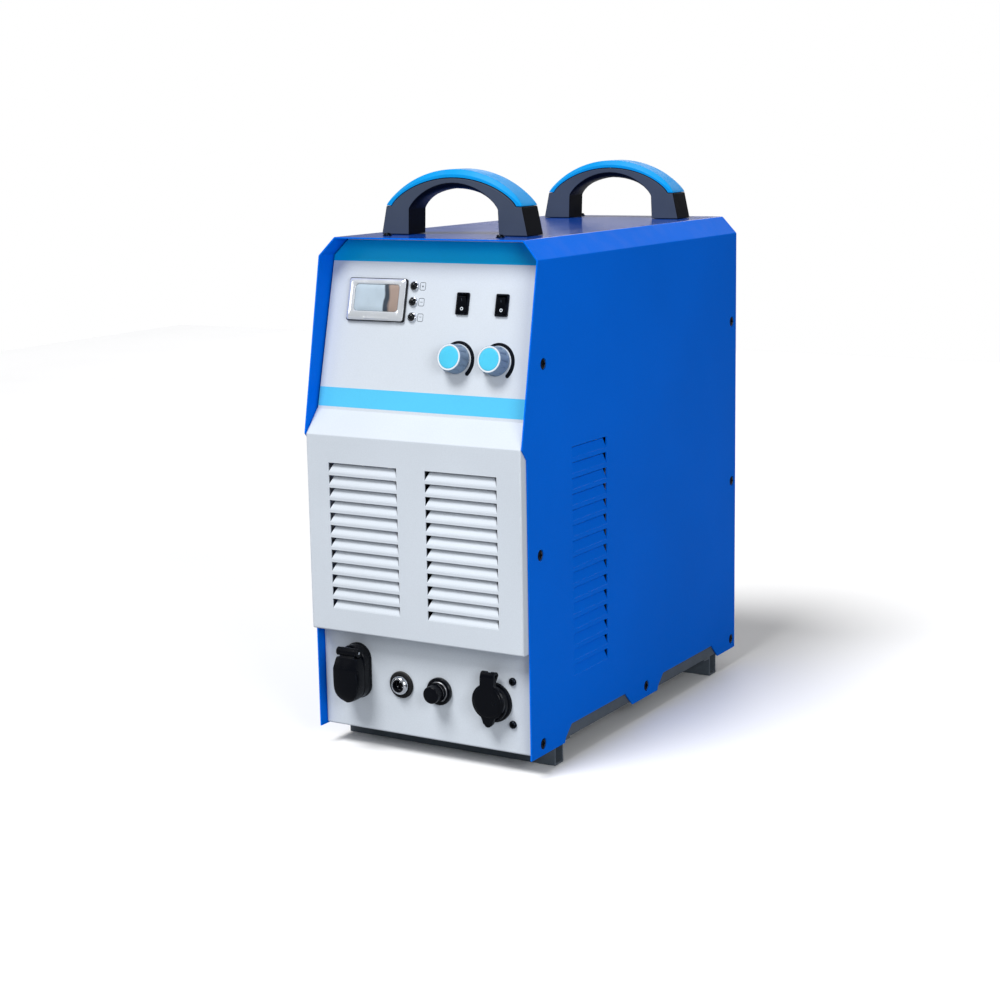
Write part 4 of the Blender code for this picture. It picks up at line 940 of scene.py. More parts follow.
def make_screw(name, place, radius=3.6, height=2.4, washer=0.0, node=""):
    """A pan-head screw with a cross recess, and a washer if it has one."""
    arm, half_width = 0.52 * radius, 0.14 * radius
    head = [(radius, 0.45 * height), (0.9 * radius, 0.75 * height), (0.7 * radius, height)]
    foot = [(washer, 0.05), (washer, 0.7), (radius, 0.75)] if washer else [(radius, 0.05)]
    angles = cross_angles(arm, half_width)
    loops = [[polar(r, a, z) for a in angles] for r, z in foot + head]
    loops += [cross_loop(arm, half_width, z) for z in (height + 0.1, 0.35 * height)]
    make(name, joined(loops), place, BLACK_METAL, node, bevel=0.15)


def make_hex_bolt(name, place, across=8.0, height=3.6):
    """A bolt head with a chamfered top."""
    loops = [hexagon(across, z) for z in (0, height - 0.5)] + [hexagon(across - 1.2, height)]
    make(name, joined(loops), place, ZINC, bevel=0.2)


def make_fasteners():
    """The screws of the cover, socket panel and fan, and the bolts of the feet and handles."""
    for side, name, facing in ((1, "right", 90), (-1, "left", -90)):
        for i, (y, z) in enumerate(SIDE_SCREWS):
            place = CASE @ move(side * HALF, y, z) @ turn(facing, "Y")
            place = place @ move(0, 0, -SIDE_SCREW_HEIGHT - 0.2)
            make_screw("%s_side_screw_%d" % (name, i + 1), place, SCREW_HOLE - 0.1, SIDE_SCREW_HEIGHT)
        for (x, y), end in zip(TOP_SCREWS, ("front", "rear")):
            place = CASE @ move(side * x, y, HEIGHT)
            make_screw("%s_top_screw_%s" % (name, end), place, washer=4.3, height=2.8)
    for end in ("front", "rear"):
        low, high = span(CASE, end + "_foot")
        middle = (low.y + high.y) / 2
        for x, side in ((-FOOT_BOLT_X, "left"), (FOOT_BOLT_X, "right")):
            for y, row in ((middle - FOOT_BOLT_Y, 1), (middle + FOOT_BOLT_Y, 2)):
                place = CASE @ move(x, y, high.z - 2.1) @ turn(180, "X")
                make_hex_bolt("%s_foot_bolt_%s_%d" % (end, side, row), place)
        low, high = span(CASE, end + "_handle_body")
        for x, side in ((-HANDLE_BOLT_X, "left"), (HANDLE_BOLT_X, "right")):
            place = CASE @ move(x, (low.y + high.y) / 2, HEIGHT - SHEET - 0.1) @ turn(180, "X")
            make_hex_bolt("%s_handle_bolt_%s" % (end, side), place, 10.0, 4.0)
    for name in ("upper_panel_screw", "lower_panel_screw"):
        make_screw(name[:-6] + "_fixing", at(SOCKETS, name) @ move(0, 0, GAP), 3.9, 2.5, node=name)
    fan = at(REAR, "fan_rotor")
    for i, (x, y) in enumerate(((-1, -1), (1, -1), (1, 1), (-1, 1))):
        place = fan @ move(x * FAN_SCREW, y * FAN_SCREW, 4.2)
        make_screw("fan_screw_%d" % (i + 1), place, 4.0, 2.6, washer=5.5)


# Handles ---------------------------------------------------------------------


def make_handle(end):
    """An arched handle: a moulded body with two legs, its sides, crown and underside painted darker than
    its front and rear as shade, and a grip strip over its crown.
    """
    low, _ = span(CASE, end + "_handle_body")
    place = CASE @ move(0, low.y, low.z)
    shoulder_x, shoulder_z = HANDLE_SHOULDER
    foot_x, inner_x, inner_z = HANDLE_FOOT
    over = [(-low.x, 0), (shoulder_x, shoulder_z)] + arch(SEAM_HALF, shoulder_z, CROWN_SEAM, 28)
    over += [(-shoulder_x, shoulder_z), (low.x, 0), (-foot_x, 0)]
    loops = []
    for depth, belly in HANDLE_BELLY:
        under = arch(inner_x, inner_z, CROWN_INNER - belly, 24)[::-1] + [(foot_x, 0)]
        for y in (depth, HANDLE_DEPTH - depth):
            loops.append([(x, y, z) for x, z in over + under])
    loops.sort(key=lambda loop: loop[0][1])
    body = joined(loops)
    shell = make(end + "_handle_shell", body, place, HANDLE_GREY, end + "_handle_body", "case", 1.0, 3)
    # Faces that don't face front or rear get the near-black copy, painted shade on the handle's sides,
    # crown and underside.
    shell.data.materials.append(HANDLE_SIDE_PAINTED_SHADE[0])
    for polygon in shell.data.polygons:
        polygon.material_index = int(abs(polygon.normal.y) < 0.95)
    outer = arch(shoulder_x, shoulder_z + GAP, CROWN_TOP, 44)
    inner = arch(SEAM_HALF + GAP, shoulder_z + GAP, CROWN_SEAM + GAP, 44)
    loops = []
    for (ox, oz), (ix, iz) in zip(outer, inner):
        taper = (abs(ox) / shoulder_x) ** 12
        share, chamfer = 0.4 + 0.5 * taper, GRIP_CHAMFER * (1 - 0.85 * taper)
        mid_x, mid_z = ix + share * (ox - ix), iz + share * (oz - iz)
        loop = [(ix, 0, iz), (mid_x, 0, mid_z), (ox, chamfer, oz), (ox, HANDLE_DEPTH - chamfer, oz)]
        loops.append(loop + [(mid_x, HANDLE_DEPTH, mid_z), (ix, HANDLE_DEPTH, iz)])
    make(end + "_handle_cap", joined(loops), place, HANDLE_BLUE, end + "_handle_grip", "case", 0.9, 3)


# Controls --------------------------------------------------------------------


def make_meter():
    """The current meter: a dark case whose edge past the frame is partly its own wall and partly a painted
    shadow, a silver frame with a thumb tab, and the window with its painted reflection.
    """
    centre, half_x, half_y = face_of(CONTROLS, "meter_bezel")
    window, window_x, window_y = face_of(CONTROLS, "meter_window")
    # The dark case reaches past the silver frame: its own dark wall, and a painted shadow under the frame.
    sides = ((0.0, GAP), (0.0, 2.4), (0.5, 3.0))
    loops = [panel_loop(half_x - inset, half_y - inset, 2.2, z, centre) for inset, z in sides]
    make("meter_case_and_painted_shadow", joined(loops), CONTROLS, BLACK)
    sides = ((0.7, 3.0), (0.8, 3.4), (1.4, 3.9), (3.1, 4.7), (4.2, 5.0))
    loops = [panel_loop(half_x - inset, half_y - inset, 2.4, z, centre) for inset, z in sides]
    rim = ((1.5, 5.0), (0.8, 4.7), (0.3, 4.0), (0.25, 2.4))
    loops += [panel_loop(window_x + grow, window_y + grow, 3.6, z, window) for grow, z in rim]
    frame_piece = joined(loops)
    make("meter_surround", frame_piece, CONTROLS, METER_FRAME, "meter_bezel", sharp=20)
    tab_place = (centre[0] + 2.5, centre[1] - half_y + 3.4)
    tab = ((14.5, 1.5, 4.0), (14.2, 1.2, 4.9), (13.6, 0.8, 5.0))
    loops = [panel_loop(x, y, 0.5, z, tab_place, 2) for x, y, z in tab]
    make("meter_tab", joined(loops), CONTROLS, METER_FRAME)
    pane = [(window_x, window_y, 2.6), (window_x, window_y, 3.7), (window_x - 0.6, window_y - 0.6, 4.1)]
    loops = [panel_loop(x, y, 3.4, z, window) for x, y, z in pane]
    loops.append(panel_loop(window_x - 9, window_y - 5, 3.4, 4.2, window))
    make("meter_pane", joined(loops), CONTROLS, WINDOW, "meter_window")


def make_display_board():
    """The meter's module and the circuit board behind the controls."""
    low, high = span(CONTROLS, "display_board")
    board = block((low.x, low.y, low.z), (high.x, high.y, low.z + 1.6))
    bezel_low, bezel_high = span(CONTROLS, "meter_bezel")
    inset = Vector((5.5, 6.0, 0))
    bezel_low, bezel_high = bezel_low + inset, bezel_high - inset
    module = block((bezel_low.x, bezel_low.y, low.z + 1), (bezel_high.x, bezel_high.y, 1.9))
    board = fused(board, ("UNION", module))
    make("meter_module", board, CONTROLS, BOARD, "display_board", bevel=0.3)


def ring_decal(outer, inner):
    """A flat printed ring between two closed loops of points."""
    low, high = FINE_INK
    levels = ((outer, low), (outer, high), (inner, high), (inner, low))
    return joined([[(x, y, z) for x, y, _ in loop] for loop, z in levels], closed=True)


def make_indicators():
    """Three smoked LEDs in chrome holders, each with a plain boxed symbol beside it."""
    for i in range(LED_COUNT):
        name = "led_holder_%d" % (i + 1)
        place = at(CONTROLS, name)
        bezel = [(4.7, GAP), (4.7, 1.0), (4.5, 1.6), (4.1, 2.0), (3.7, 2.0), (3.45, 1.5), (3.45, -6.0)]
        bezel = turned(bezel + [(4.0, -6.0), (4.0, GAP)], 36, True)
        make("indicator_bezel_%d" % (i + 1), bezel, place, CHROME, name, sharp=50)
        lens = [(0, -24.0), (2.5, -24.0), (3.2, -5.0), (3.3, 2.2), (3.1, 3.2), (2.5, 3.9)]
        lens += [(1.4, 4.4), (0, 4.6)]
        make("indicator_lens_%d" % (i + 1), turned(lens, 28), place, LENS, sharp=50)
        box = place @ move(SYMBOL_SHIFT, 0)
        outline = ring_decal(panel_loop(3.2, 3.85, 1.4, 0), panel_loop(2.75, 3.4, 1.0, 0))
        make("indicator_symbol_%d" % (i + 1), outline, box, GREY_INK)
        mark = bmesh.new()
        if i == 0:
            add_loops(mark, [oval(0.8, 0.8, z, 16) for z in FINE_INK])
        else:
            middle, (low, high) = 0.6 * (i - 1), FINE_INK
            block((-1.3, middle - 0.2, low), (1.3, middle + 0.2, high), mark)
        make("indicator_mark_%d" % (i + 1), mark, box, GREY_INK)


def make_switch(kind):
    """A rocker switch: a framed housing, and a dished rocker at rest with its lower half in."""
    place = at(CONTROLS, kind + "_switch_housing")
    steps = [(5.7, 9.2, 0.6, -20), (5.7, 9.2, 0.6, GAP), (6.7, 10.5, 1.2, GAP), (6.7, 10.5, 1.2, 1.7)]
    steps += [(6.3, 10.1, 1.0, 2.3), (5.3, 8.95, 0.7, 2.4), (4.9, 8.5, 0.5, 1.9), (4.9, 8.5, 0.5, -8)]
    loops = [panel_loop(x, y, radius, z) for x, y, radius, z in steps]
    housing = joined(loops)
    make(kind + "_switch_frame", housing, place, BLACK, kind + "_switch_housing")
    half, dip, rise = ROCKER_HALF, ROCKER_DIP, ROCKER_RISE
    dish = [(half - 2 * half * i / 12, dip + rise * (1 - i / 6) ** 2) for i in range(13)]
    tilted = place @ turn(ROCKER_TILT, "X")
    rocker = prism([(half, 0.6)] + dish + [(-half, 0.6), (-3, -4), (3, -4)], -4.5, 4.5, "X")
    body = kind + "_rocker"
    make(kind + "_switch_paddle", rocker, tilted, BLACK, kind + "_switch_rocker", body, 0.35, 3, sharp=25)
    slope = math.degrees(math.atan(2 * rise * ROCKER_MARK / half**2))
    height = dip + rise * (ROCKER_MARK / half) ** 2 + 0.05
    circle = ring_decal(oval(1.6, 1.6, 0, 24), oval(0.9, 0.9, 0, 24))
    spot = tilted @ move(0, -ROCKER_MARK, height) @ turn(-slope, "X")
    make(kind + "_switch_off_mark", circle, spot, WHITE_MARK, body=body)
    bar = block((-0.25, -1.2, FINE_INK[0]), (0.25, 1.2, FINE_INK[1]))
    spot = tilted @ move(0, ROCKER_MARK, height) @ turn(slope, "X")
    make(kind + "_switch_on_mark", bar, spot, GREY_INK, body=body)


def make_knob(kind):
    """A fluted pointer knob with a white-rimmed cyan face, over a printed arc that widens."""
    place = hinge(CONTROLS, kind + "_knob_turn")
    body = kind + "_control"
    segments = 144
    profile = [(9.6, 0.8), (13.9, 0.8), (14.0, 1.2), (13.9, 1.9), (13.5, 2.4), (13.1, 11.0), (12.85, 13.6)]
    profile += [(12.6, 14.3), (12.2, 14.6), (11.2, 14.6), (11.2, 13.0), (2.4, 13.0), (2.4, 6.9), (9.6, 6.9)]
    loops = []
    for radius, z in profile:
        depth = FLUTE_DEPTH if 2.3 < z < 13.8 and radius > 12.6 else 0.0
        loop = []
        for i in range(segments):
            angle = math.tau * i / segments
            reach = radius - depth * (1 - abs(math.sin(KNOB_FLUTES * angle / 2)) ** 0.35)
            loop.append(polar(reach, angle, z))
        loops.append(loop)
    shell = joined(loops, closed=True)
    shell = fused(shell, ("UNION", pointer_wedge()))
    make(kind + "_knob_shell", shell, place, KNOB_GREY, kind + "_knob", body, sharp=40)
    rim = [(10.6, 13.1), (10.6, 14.7), (10.9, 14.95), (11.9, 14.95), (12.25, 14.65)]
    rim += [(11.1, 14.5), (11.1, 13.1)]
    make(kind + "_knob_rim", turned(rim, 72, True), place, WHITE_MARK, body=body)
    face = [(0, 13.3), (10.5, 13.3), (10.5, 14.5), (10.3, 14.8), (9.6, 14.95), (6.0, 15.05), (0, 15.1)]
    make(kind + "_knob_face", turned(face, 72), place, KNOB_CYAN, kind + "_knob_cap", body, sharp=50)
    make(kind + "_scale_arc", prism(scale_outline(), *INK), place, BLACK_INK)


def scale_outline():
    """The printed arc round a knob, which grows in reach and width clockwise to a round end."""
    steps = 60
    outer, inner = [], []
    for i in range(steps + 1):
        share = i / steps
        angle = math.radians(KNOB_START - KNOB_SWEEP * share)
        for side, reach in ((outer, 15.2 + 5.0 * share**1.2), (inner, 14.4 + 1.6 * share**3)):
            side.append((reach * math.cos(angle), reach * math.sin(angle)))
    middle = (Vector(outer[-1]) + Vector(inner[-1])) / 2
    end = KNOB_START - KNOB_SWEEP
    return outer + arc(middle, 2.1, end - 15, end - 165, 8) + inner[::-1]


def pointer_wedge():
    """The knob's pointer: a short wedge on its skirt."""
    outline = [(13.0, -1.6), (16.2, -0.5), (16.2, 0.5), (13.0, 1.6)]
    wedge = prism(outline, 0.9, 2.6)
    wedge.transform(turn(KNOB_START, "Z"))
    return wedge


# Output sockets --------------------------------------------------------------


def lug(pin, radius, inner_root, outer_root, half, shift=0.0, end=-20):
    """A hinge lug: a web that leaves the body at two points for a round head on the pin."""
    outline = [inner_root] + arc(pin, radius, 180, end, 16) + [outer_root]
    return prism(outline, shift - half, shift + half, "X")


def cross_bore(pin, radius, half):
    """A round bar across a hinge, which cuts the pin's bore."""
    return prism(round_hole(radius, pin), -half, half, "X")


def make_torch_socket():
    """Upright housing with a round cavity, two hinge lugs, a brass insert and a deep flip lid."""
    _, half_x, _ = face_of(SOCKETS, "torch_socket_body")
    half_y, front = TORCH_HALF_Y, TORCH_FRONT
    place = at(SOCKETS, "torch_socket_insert")
    pin = (place.inverted() @ hinge(SOCKETS, "torch_lid_open")).translation
    pin = (pin.y, pin.z)
    loops = [oval(13.0, 13.0, z) for z in (-30, GAP)]
    loops += [stadium(half_x, half_y, z) for z in (GAP, 2.6)]
    loops += [stadium(half_x - i, half_y - i, z) for i, z in ((0.6, 3.0), (0.6, front - 0.8), (1.2, front))]
    loops += [oval(11.6, 11.6, front), oval(10.8, 10.8, front - 0.8), oval(10.8, 10.8, -22)]
    body = joined(loops)
    roots = ((pin[0] - 4.2, front - 3), (pin[0] - 1, front - 3))
    lugs = [("UNION", lug(pin, 4.2, *roots, 1.6, side * TORCH_LUG_X)) for side in (-1, 1)]
    body = fused(body, *lugs, ("DIFFERENCE", cross_bore(pin, PIN_BORE, 16)))
    make("torch_socket_housing", body, place, BLACK, "torch_socket_body", bevel=0.35)
    sleeve = [(10.3, -21.6), (10.3, 5.4), (9.9, 6.0), (7.2, 6.0), (6.6, 5.2), (6.6, -21.6)]
    sleeve = turned(sleeve, 48, True)
    make("torch_socket_sleeve", sleeve, place, BRASS, "torch_socket_insert")
    make_torch_lid(hinge(SOCKETS, "torch_lid_open"), pin, front)


def lid_loop(y, half_x, back, front, fillet, ridge):
    """One level of a lid: flat behind, chamfered at its front corners and ridged in front."""
    points = [(half_x, y, back)]
    points += [(half_x - fillet + u, y, front - fillet + v) for u, v in arc((0, 0), fillet, 0, 90, 2)]
    points += [(half_x / 3, y, front + 0.6 * ridge), (0, y, front + ridge)]
    return points + [(-x, y, z) for x, y, z in reversed(points[:-1])]


def make_torch_lid(place, pin, front):
    """The lid about its pin: a knuckle, a sloping brow, a tall face and a rounded chin, hollow behind."""
    back, face = front + LID_GAP - pin[1], TORCH_FACE
    chin, waist = TORCH_CHIN, TORCH_WAIST
    knuckle = TORCH_LUG_X - 2.0
    rows = []
    for angle in range(80, -50, -16):
        y = 4.4 * math.sin(math.radians(angle))
        reach = 4.4 * math.cos(math.radians(angle))
        rows.append((y, knuckle, -reach, reach, min(0.5, reach / 3), 0.0))
    rows += [(-5.0, knuckle, back, 4.9, 0.6, 0.0), (-5.3, 12.2, back, 5.0, 2.0, 0.0)]
    rows += [(-8.0, 13.2, back, 6.0, 2.6, 0.0), (-15.6, 14.4, back, 9.1, 3.4, 0.0)]
    rows += [(-16.9, 14.6, back, face, 3.7, 0.1), (-23.0, 14.8, back, face, 3.8, 0.3)]
    rows.append((waist, 14.8, back, face - 0.2, 3.8, 0.5))
    for i in range(1, 9):
        share = math.sin(math.radians(90 * i / 8.3))
        y = waist + (chin - waist) * share
        half_x = 14.8 * max(0.02, 1 - share**2.6) ** 0.5
        fillet = min(3.8, half_x / 2)
        rows.append((y, half_x, back, face - 0.2 - 4.2 * share**4, fillet, 0.5 + 0.5 * share * (1 - share)))
    lid = joined([lid_loop(*row) for row in rows])
    pocket = joined([oval(11.2, 15.0, z, 40, (0, -28.5)) for z in (-12, face - 3.4)])
    lid = fused(lid, ("DIFFERENCE", pocket), ("DIFFERENCE", cross_bore((0, 0), PIN_BORE, 16)))
    make("torch_lid", lid, place, BLACK, "torch_socket_lid", "torch_lid", 0.3)


def make_earth_socket():
    """Round housing with a centre hinge lug, a brass insert and a disc lid."""
    place = at(SOCKETS, "earth_socket_insert")
    pin = (place.inverted() @ hinge(SOCKETS, "earth_lid_open")).translation
    pin = (pin.y, pin.z)
    front = EARTH_FRONT
    profile = [(12.0, -28), (12.0, GAP), (19.5, GAP), (19.5, 2.6), (19.1, 3.4), (17.9, 3.8)]
    profile += [(17.6, front - 0.6), (17.0, front), (11.6, front), (11.0, front - 0.6), (11.0, -24)]
    strut = lug(pin, 3.4, (14.0, pin[1]), (16.0, 2.0), 2.3, end=-70)
    bore = cross_bore(pin, PIN_BORE, 6)
    body = fused(turned(profile, 64), ("UNION", strut), ("DIFFERENCE", bore))
    make("earth_socket_housing", body, place, BLACK, "earth_socket_body", bevel=0.3)
    sleeve = [(10.5, -23.6), (10.5, 5.0), (10.1, 5.5), (7.4, 5.5), (6.8, 4.8), (6.8, -23.6)]
    sleeve = turned(sleeve, 48, True)
    make("earth_socket_sleeve", sleeve, place, BRASS, "earth_socket_insert")
    make_earth_lid(hinge(SOCKETS, "earth_lid_open"), front + LID_GAP - pin[1])


def make_earth_lid(place, back):
    """The lid about its pin: a forked knuckle, a strap and a shallow domed disc with a thumb tab."""
    centre, radius, face = (0, -24.6), 17.6, 5.4
    profile = [(radius, back), (radius, 3.3), (radius - 0.7, 4.0), (radius - 2.4, 4.3), (radius - 2.8, 4.8)]
    profile += [(radius - 3.6, 5.3), (radius - 5.5, face), (0, face + 0.2)]
    disc = joined(circles([(0, back)] + profile, 64, centre))
    strap = [(-1.0, face - 0.6), (-12.0, face), (-15.5, 4.2), (-15.5, back), (-6.0, back)]
    strap = prism(arc((0, 0), 4.3, -90, 90, 16) + strap, -7.6, 7.6, "X")
    tab = [(-8.5, -34), (-7.5, -40.0), (-4.8, -46.5)] + arc((0, -45.5), 4.0, 210, 330, 8) + [(4.8, -46.5)]
    tab = prism(tab + [(7.5, -40.0), (8.5, -34)], back, face - 1.3)
    slot = [(-8.5, 0), (-8.5, -14), (12, -14), (12, 2.5)] + arc((0, 0), 3.7, 30, 180, 10)
    slot = prism(slot, -2.7, 2.7, "X")
    bore = cross_bore((0, 0), PIN_BORE, 16)
    lid = fused(disc, ("UNION", strap), ("UNION", tab), ("DIFFERENCE", slot), ("DIFFERENCE", bore))
    make("earth_lid", lid, place, BLACK, "earth_socket_lid", "earth_lid", 0.3)


def threads(radius, depth, start, end, pitch):
    """A thread's profile as grooves along a stretch."""
    points = []
    for i in range(int((end - start) / pitch)):
        z = start + pitch * i
        points += [(radius - depth, z), (radius, z + 0.5 * pitch)]
    return points + [(radius - depth, end)]


def make_control_socket():
    """Round threaded connector with a gasket, and an insulator that carries its pins."""
    place = at(SOCKETS, "control_socket_shell")
    gasket = [(9.8, GAP), (13.2, GAP), (13.4, 0.6), (13.4, 1.4), (12.9, 2.2), (12.2, 2.6), (9.8, 2.6)]
    gasket = turned(gasket, 48, True)
    make("control_gasket", gasket, place, RUBBER, "control_socket_gasket")
    shell = [(6.4, 7.5), (6.4, 3.1), (7.9, 2.1), (7.9, -13), (9.5, -13)]
    shell += threads(9.5, 0.3, -12.0, 1.5, 0.9)
    shell += [(9.5, 2.4), (9.4, 4.0), (9.0, 5.3), (8.3, 6.4), (7.5, 7.2), (6.8, 7.55)]
    shell = turned(shell, 56, True)
    make("control_shell", shell, place, CHROME, "control_socket_shell", sharp=50)
    core = [(0, -12.6), (7.6, -12.6), (7.6, 1.4), (6.2, 1.4), (6.2, 6.9), (5.7, 6.9)]
    core += [(5.7, 2.0), (5.3, 1.6), (0, 1.6)]
    make("control_insulator", turned(core, 48), place, BLACK, "control_socket_core")
    for i, (x, y) in enumerate(arc((0, 0), CONNECTOR_PIN_CIRCLE, 90, 330, 2)):
        pin = turned([(0, -5), (0.9, -5), (0.9, 3.2), (0.6, 3.7), (0, 3.8)], 20)
        make("control_pin_%d" % (i + 1), pin, place @ move(x, y), CHROME)


def knurled(profile, ridges, depth, segments=96):
    """A turned solid whose widest stretch carries fine ridges."""
    widest = max(radius for radius, _ in profile)
    loops = []
    for radius, z in profile:
        if radius == 0:
            loops.append([(0, 0, z)])
            continue
        cut = depth if radius > widest - 0.2 else 0.0
        loop = []
        for i in range(segments):
            reach = radius - cut * (0.5 + 0.5 * math.cos(math.tau * ridges * i / segments))
            loop.append(polar(reach, math.tau * i / segments, z))
        loops.append(loop)
    return joined(loops)


def make_regulator():
    """Air pressure regulator: body and threaded neck, knurled ring nut, and a ribbed pull-out knob."""
    place = at(SOCKETS, "regulator_knob")
    loops = [panel_loop(18.0, 18.0, 3.0, z, steps=11) for z in (-50, -2.0)]
    neck = [(9.8, -2.0), (9.8, 4.2), (9.5, 4.5), (8.0, 4.5), (8.0, 6.9), (7.6, 7.2), (4.0, 7.2), (4.0, -30)]
    body = joined(loops + circles(neck))
    make("regulator_valve", body, place, ALUMINIUM, "regulator_body", sharp=50)
    sleeve = [(8.1, 4.6), (9.3, 4.6), (9.5, 4.9), (9.4, 7.0), (9.1, 7.3), (8.1, 7.3)]
    make("regulator_sleeve", turned(sleeve, 48, True), place, BLACK)
    nut = [(10.7, GAP), (13.3, GAP), (13.5, 0.7), (13.5, 3.5), (12.9, 4.2), (11.4, 4.4), (10.7, 4.2)]
    make("regulator_nut", turned(nut, 56, True), place, BLACK, "regulator_ring_nut")
    knob = [(0, 14.9), (3.5, 14.9), (3.5, 8.0), (8.3, 8.0), (8.55, 8.4), (8.6, 16.6), (8.4, 17.5)]
    knob = knurled(knob + [(7.8, 18.2), (6.6, 18.45), (0, 18.5)], 24, 0.4)
    make("regulator_cap", knob, place, BLACK, "regulator_knob", "pressure_knob", sharp=40)


# Rear services ---------------------------------------------------------------


def add_wire(solid, points, radius, closed=False, sides=10):
    """A round wire along points in a plane of constant Z."""
    loops = []
    for i, (x, y, z) in enumerate(points):
        before = points[i - 1] if i or closed else points[i]
        after = points[(i + 1) % len(points)] if i + 1 < len(points) or closed else points[i]
        along = Vector((after[0] - before[0], after[1] - before[1])).normalized()
        loop = []
        for u, v in arc((0, 0), radius, 0, 360 - 360 / sides, sides - 1):
            loop.append((x + along.y * u, y - along.x * u, z + v))
        loops.append(loop)
    add_loops(solid, loops, closed)


def make_fan():
    """Fan guard of welded wire, and a rotor with swept blades."""
    place = at(REAR, "fan_rotor")
    guard = bmesh.new()
    for radius in GUARD_RINGS:
        hoop = [(x, y, 3.1) for x, y in arc((0, 0), radius, 0, 355, 71)]
        add_wire(guard, hoop, GUARD_RING_WIRE, closed=True)
    for angle in (45, 135):
        end = Vector((math.cos(math.radians(angle)), math.sin(math.radians(angle))))
        for shift in (-GUARD_SPOKE_GAP, GUARD_SPOKE_GAP):
            side = Vector((-end.y, end.x)) * shift
            first, last = end * -GUARD_SPOKE_HALF + side, end * GUARD_SPOKE_HALF + side
            add_wire(guard, [(*first, 1.5), (*last, 1.5)], GUARD_SPOKE_WIRE)
    for x in (-FAN_SCREW, FAN_SCREW):
        for y in (-FAN_SCREW, FAN_SCREW):
            eye = circles(((3.0, 2.5), (6.2, 2.5), (6.2, 4.1), (3.0, 4.1)), 28, (x, y))
            add_loops(guard, eye, closed=True)
    make("fan_grille", guard, place, ZINC, "fan_guard")
    low, high = span(place, "fan_rotor")
    hub = [(0, low.z), (2.6, low.z), (2.6, low.z + 4.5), (25.6, low.z + 4.5), (26, low.z + 5)]
    hub += [(26, high.z - 3), (25.2, high.z - 1), (23.5, high.z), (0, high.z)]
    hub = turned(hub, 48)
    blades = bmesh.new()
    middle = (low.z + 4.5 + high.z) / 2
    for blade in range(BLADE_COUNT):
        spin = turn(360 * blade / BLADE_COUNT, "Z")
        add_loops(blades, [blade_section(spin, i / 8, middle) for i in range(9)])
    make("fan_hub", hub, place, BLACK, "fan_rotor", "fan", 0.3)
    make("fan_blades", blades, place, BLACK, body="fan", sharp=50)


def blade_section(spin, share, middle):
    """A cambered section of a fan blade, wider, flatter and more swept towards its tip."""
    radius, chord = BLADE_ROOT + BLADE_LENGTH * share, 24 + 10 * share
    pitch, sweep = math.radians(48 - 18 * share), math.radians(14 * share**1.5)
    loop = []
    for side in (1, -1):
        for step in range(7):
            along = side * (0.5 - step / 6) * chord
            reach = 2 * along / chord
            camber = 2.0 * (1 - reach**2) + side * 0.8 * (1 - reach**4)
            y = along * math.cos(pitch) - camber * math.sin(pitch)
            z = along * math.sin(pitch) + camber * math.cos(pitch)
            if side == 1 or 0 < step < 6:
                loop.append(spin @ turn(math.degrees(sweep), "Z") @ Vector((radius, y, middle + z)))
    return loop


def make_breaker():
    """Mains circuit breaker with a tilting lever, off at rest."""
    place = hinge(REAR, "breaker_toggle")
    steps = [(27.0, 40.0, 2.0, -60), (27.0, 40.0, 2.0, -2.0), (26.5, 22.5, 2.0, -2.0)]
    steps += [(26.5, 22.5, 2.0, 4.0), (25.6, 21.6, 1.6, 5.0), (20.8, 10.3, 0.9, 5.0)]
    steps += [(20.0, 9.5, 0.6, 4.2), (20.0, 9.5, 0.6, -6.5)]
    body = joined([panel_loop(x, y, radius, z) for x, y, radius, z in steps])
    body = fused(body, ("DIFFERENCE", cross_bore((0, 0), 2.1, 22.6)))
    make("breaker_case", body, place, BLACK, "breaker_body")
    tilted = place @ turn(LEVER_TILT, "X")
    lever = arc((0, 0), 5.0, 65, -245, 24) + [(-1.7, 12.4), (-1.1, 13.0), (1.1, 13.0), (1.7, 12.4)]
    lever = fused(prism(lever, -18, 18, "X"), ("UNION", cross_bore((0, 0), 1.5, 22)))
    make("breaker_toggle_lever", lever, tilted, GREY, "breaker_lever", "breaker", 0.4)
    for i, (x, y) in enumerate(((-22, 17.5), (22, 17.5), (-22, -17.5), (22, -17.5))):
        make_screw("breaker_screw_%d" % (i + 1), place @ move(x, y, 5.0), 2.2, 1.4)


def repeated(points, count, pitch):
    """(radius, height) points repeated at a pitch."""
    return [(r, z + pitch * i) for i in range(count) for r, z in points]


def hex_fitting(below, across, flats, above):
    """A turned fitting with a bore and a hexagon, from its bore's top down and round to its top."""
    return joined(circles(below) + [hex_loop(across, z) for z in flats] + circles(above), closed=True)


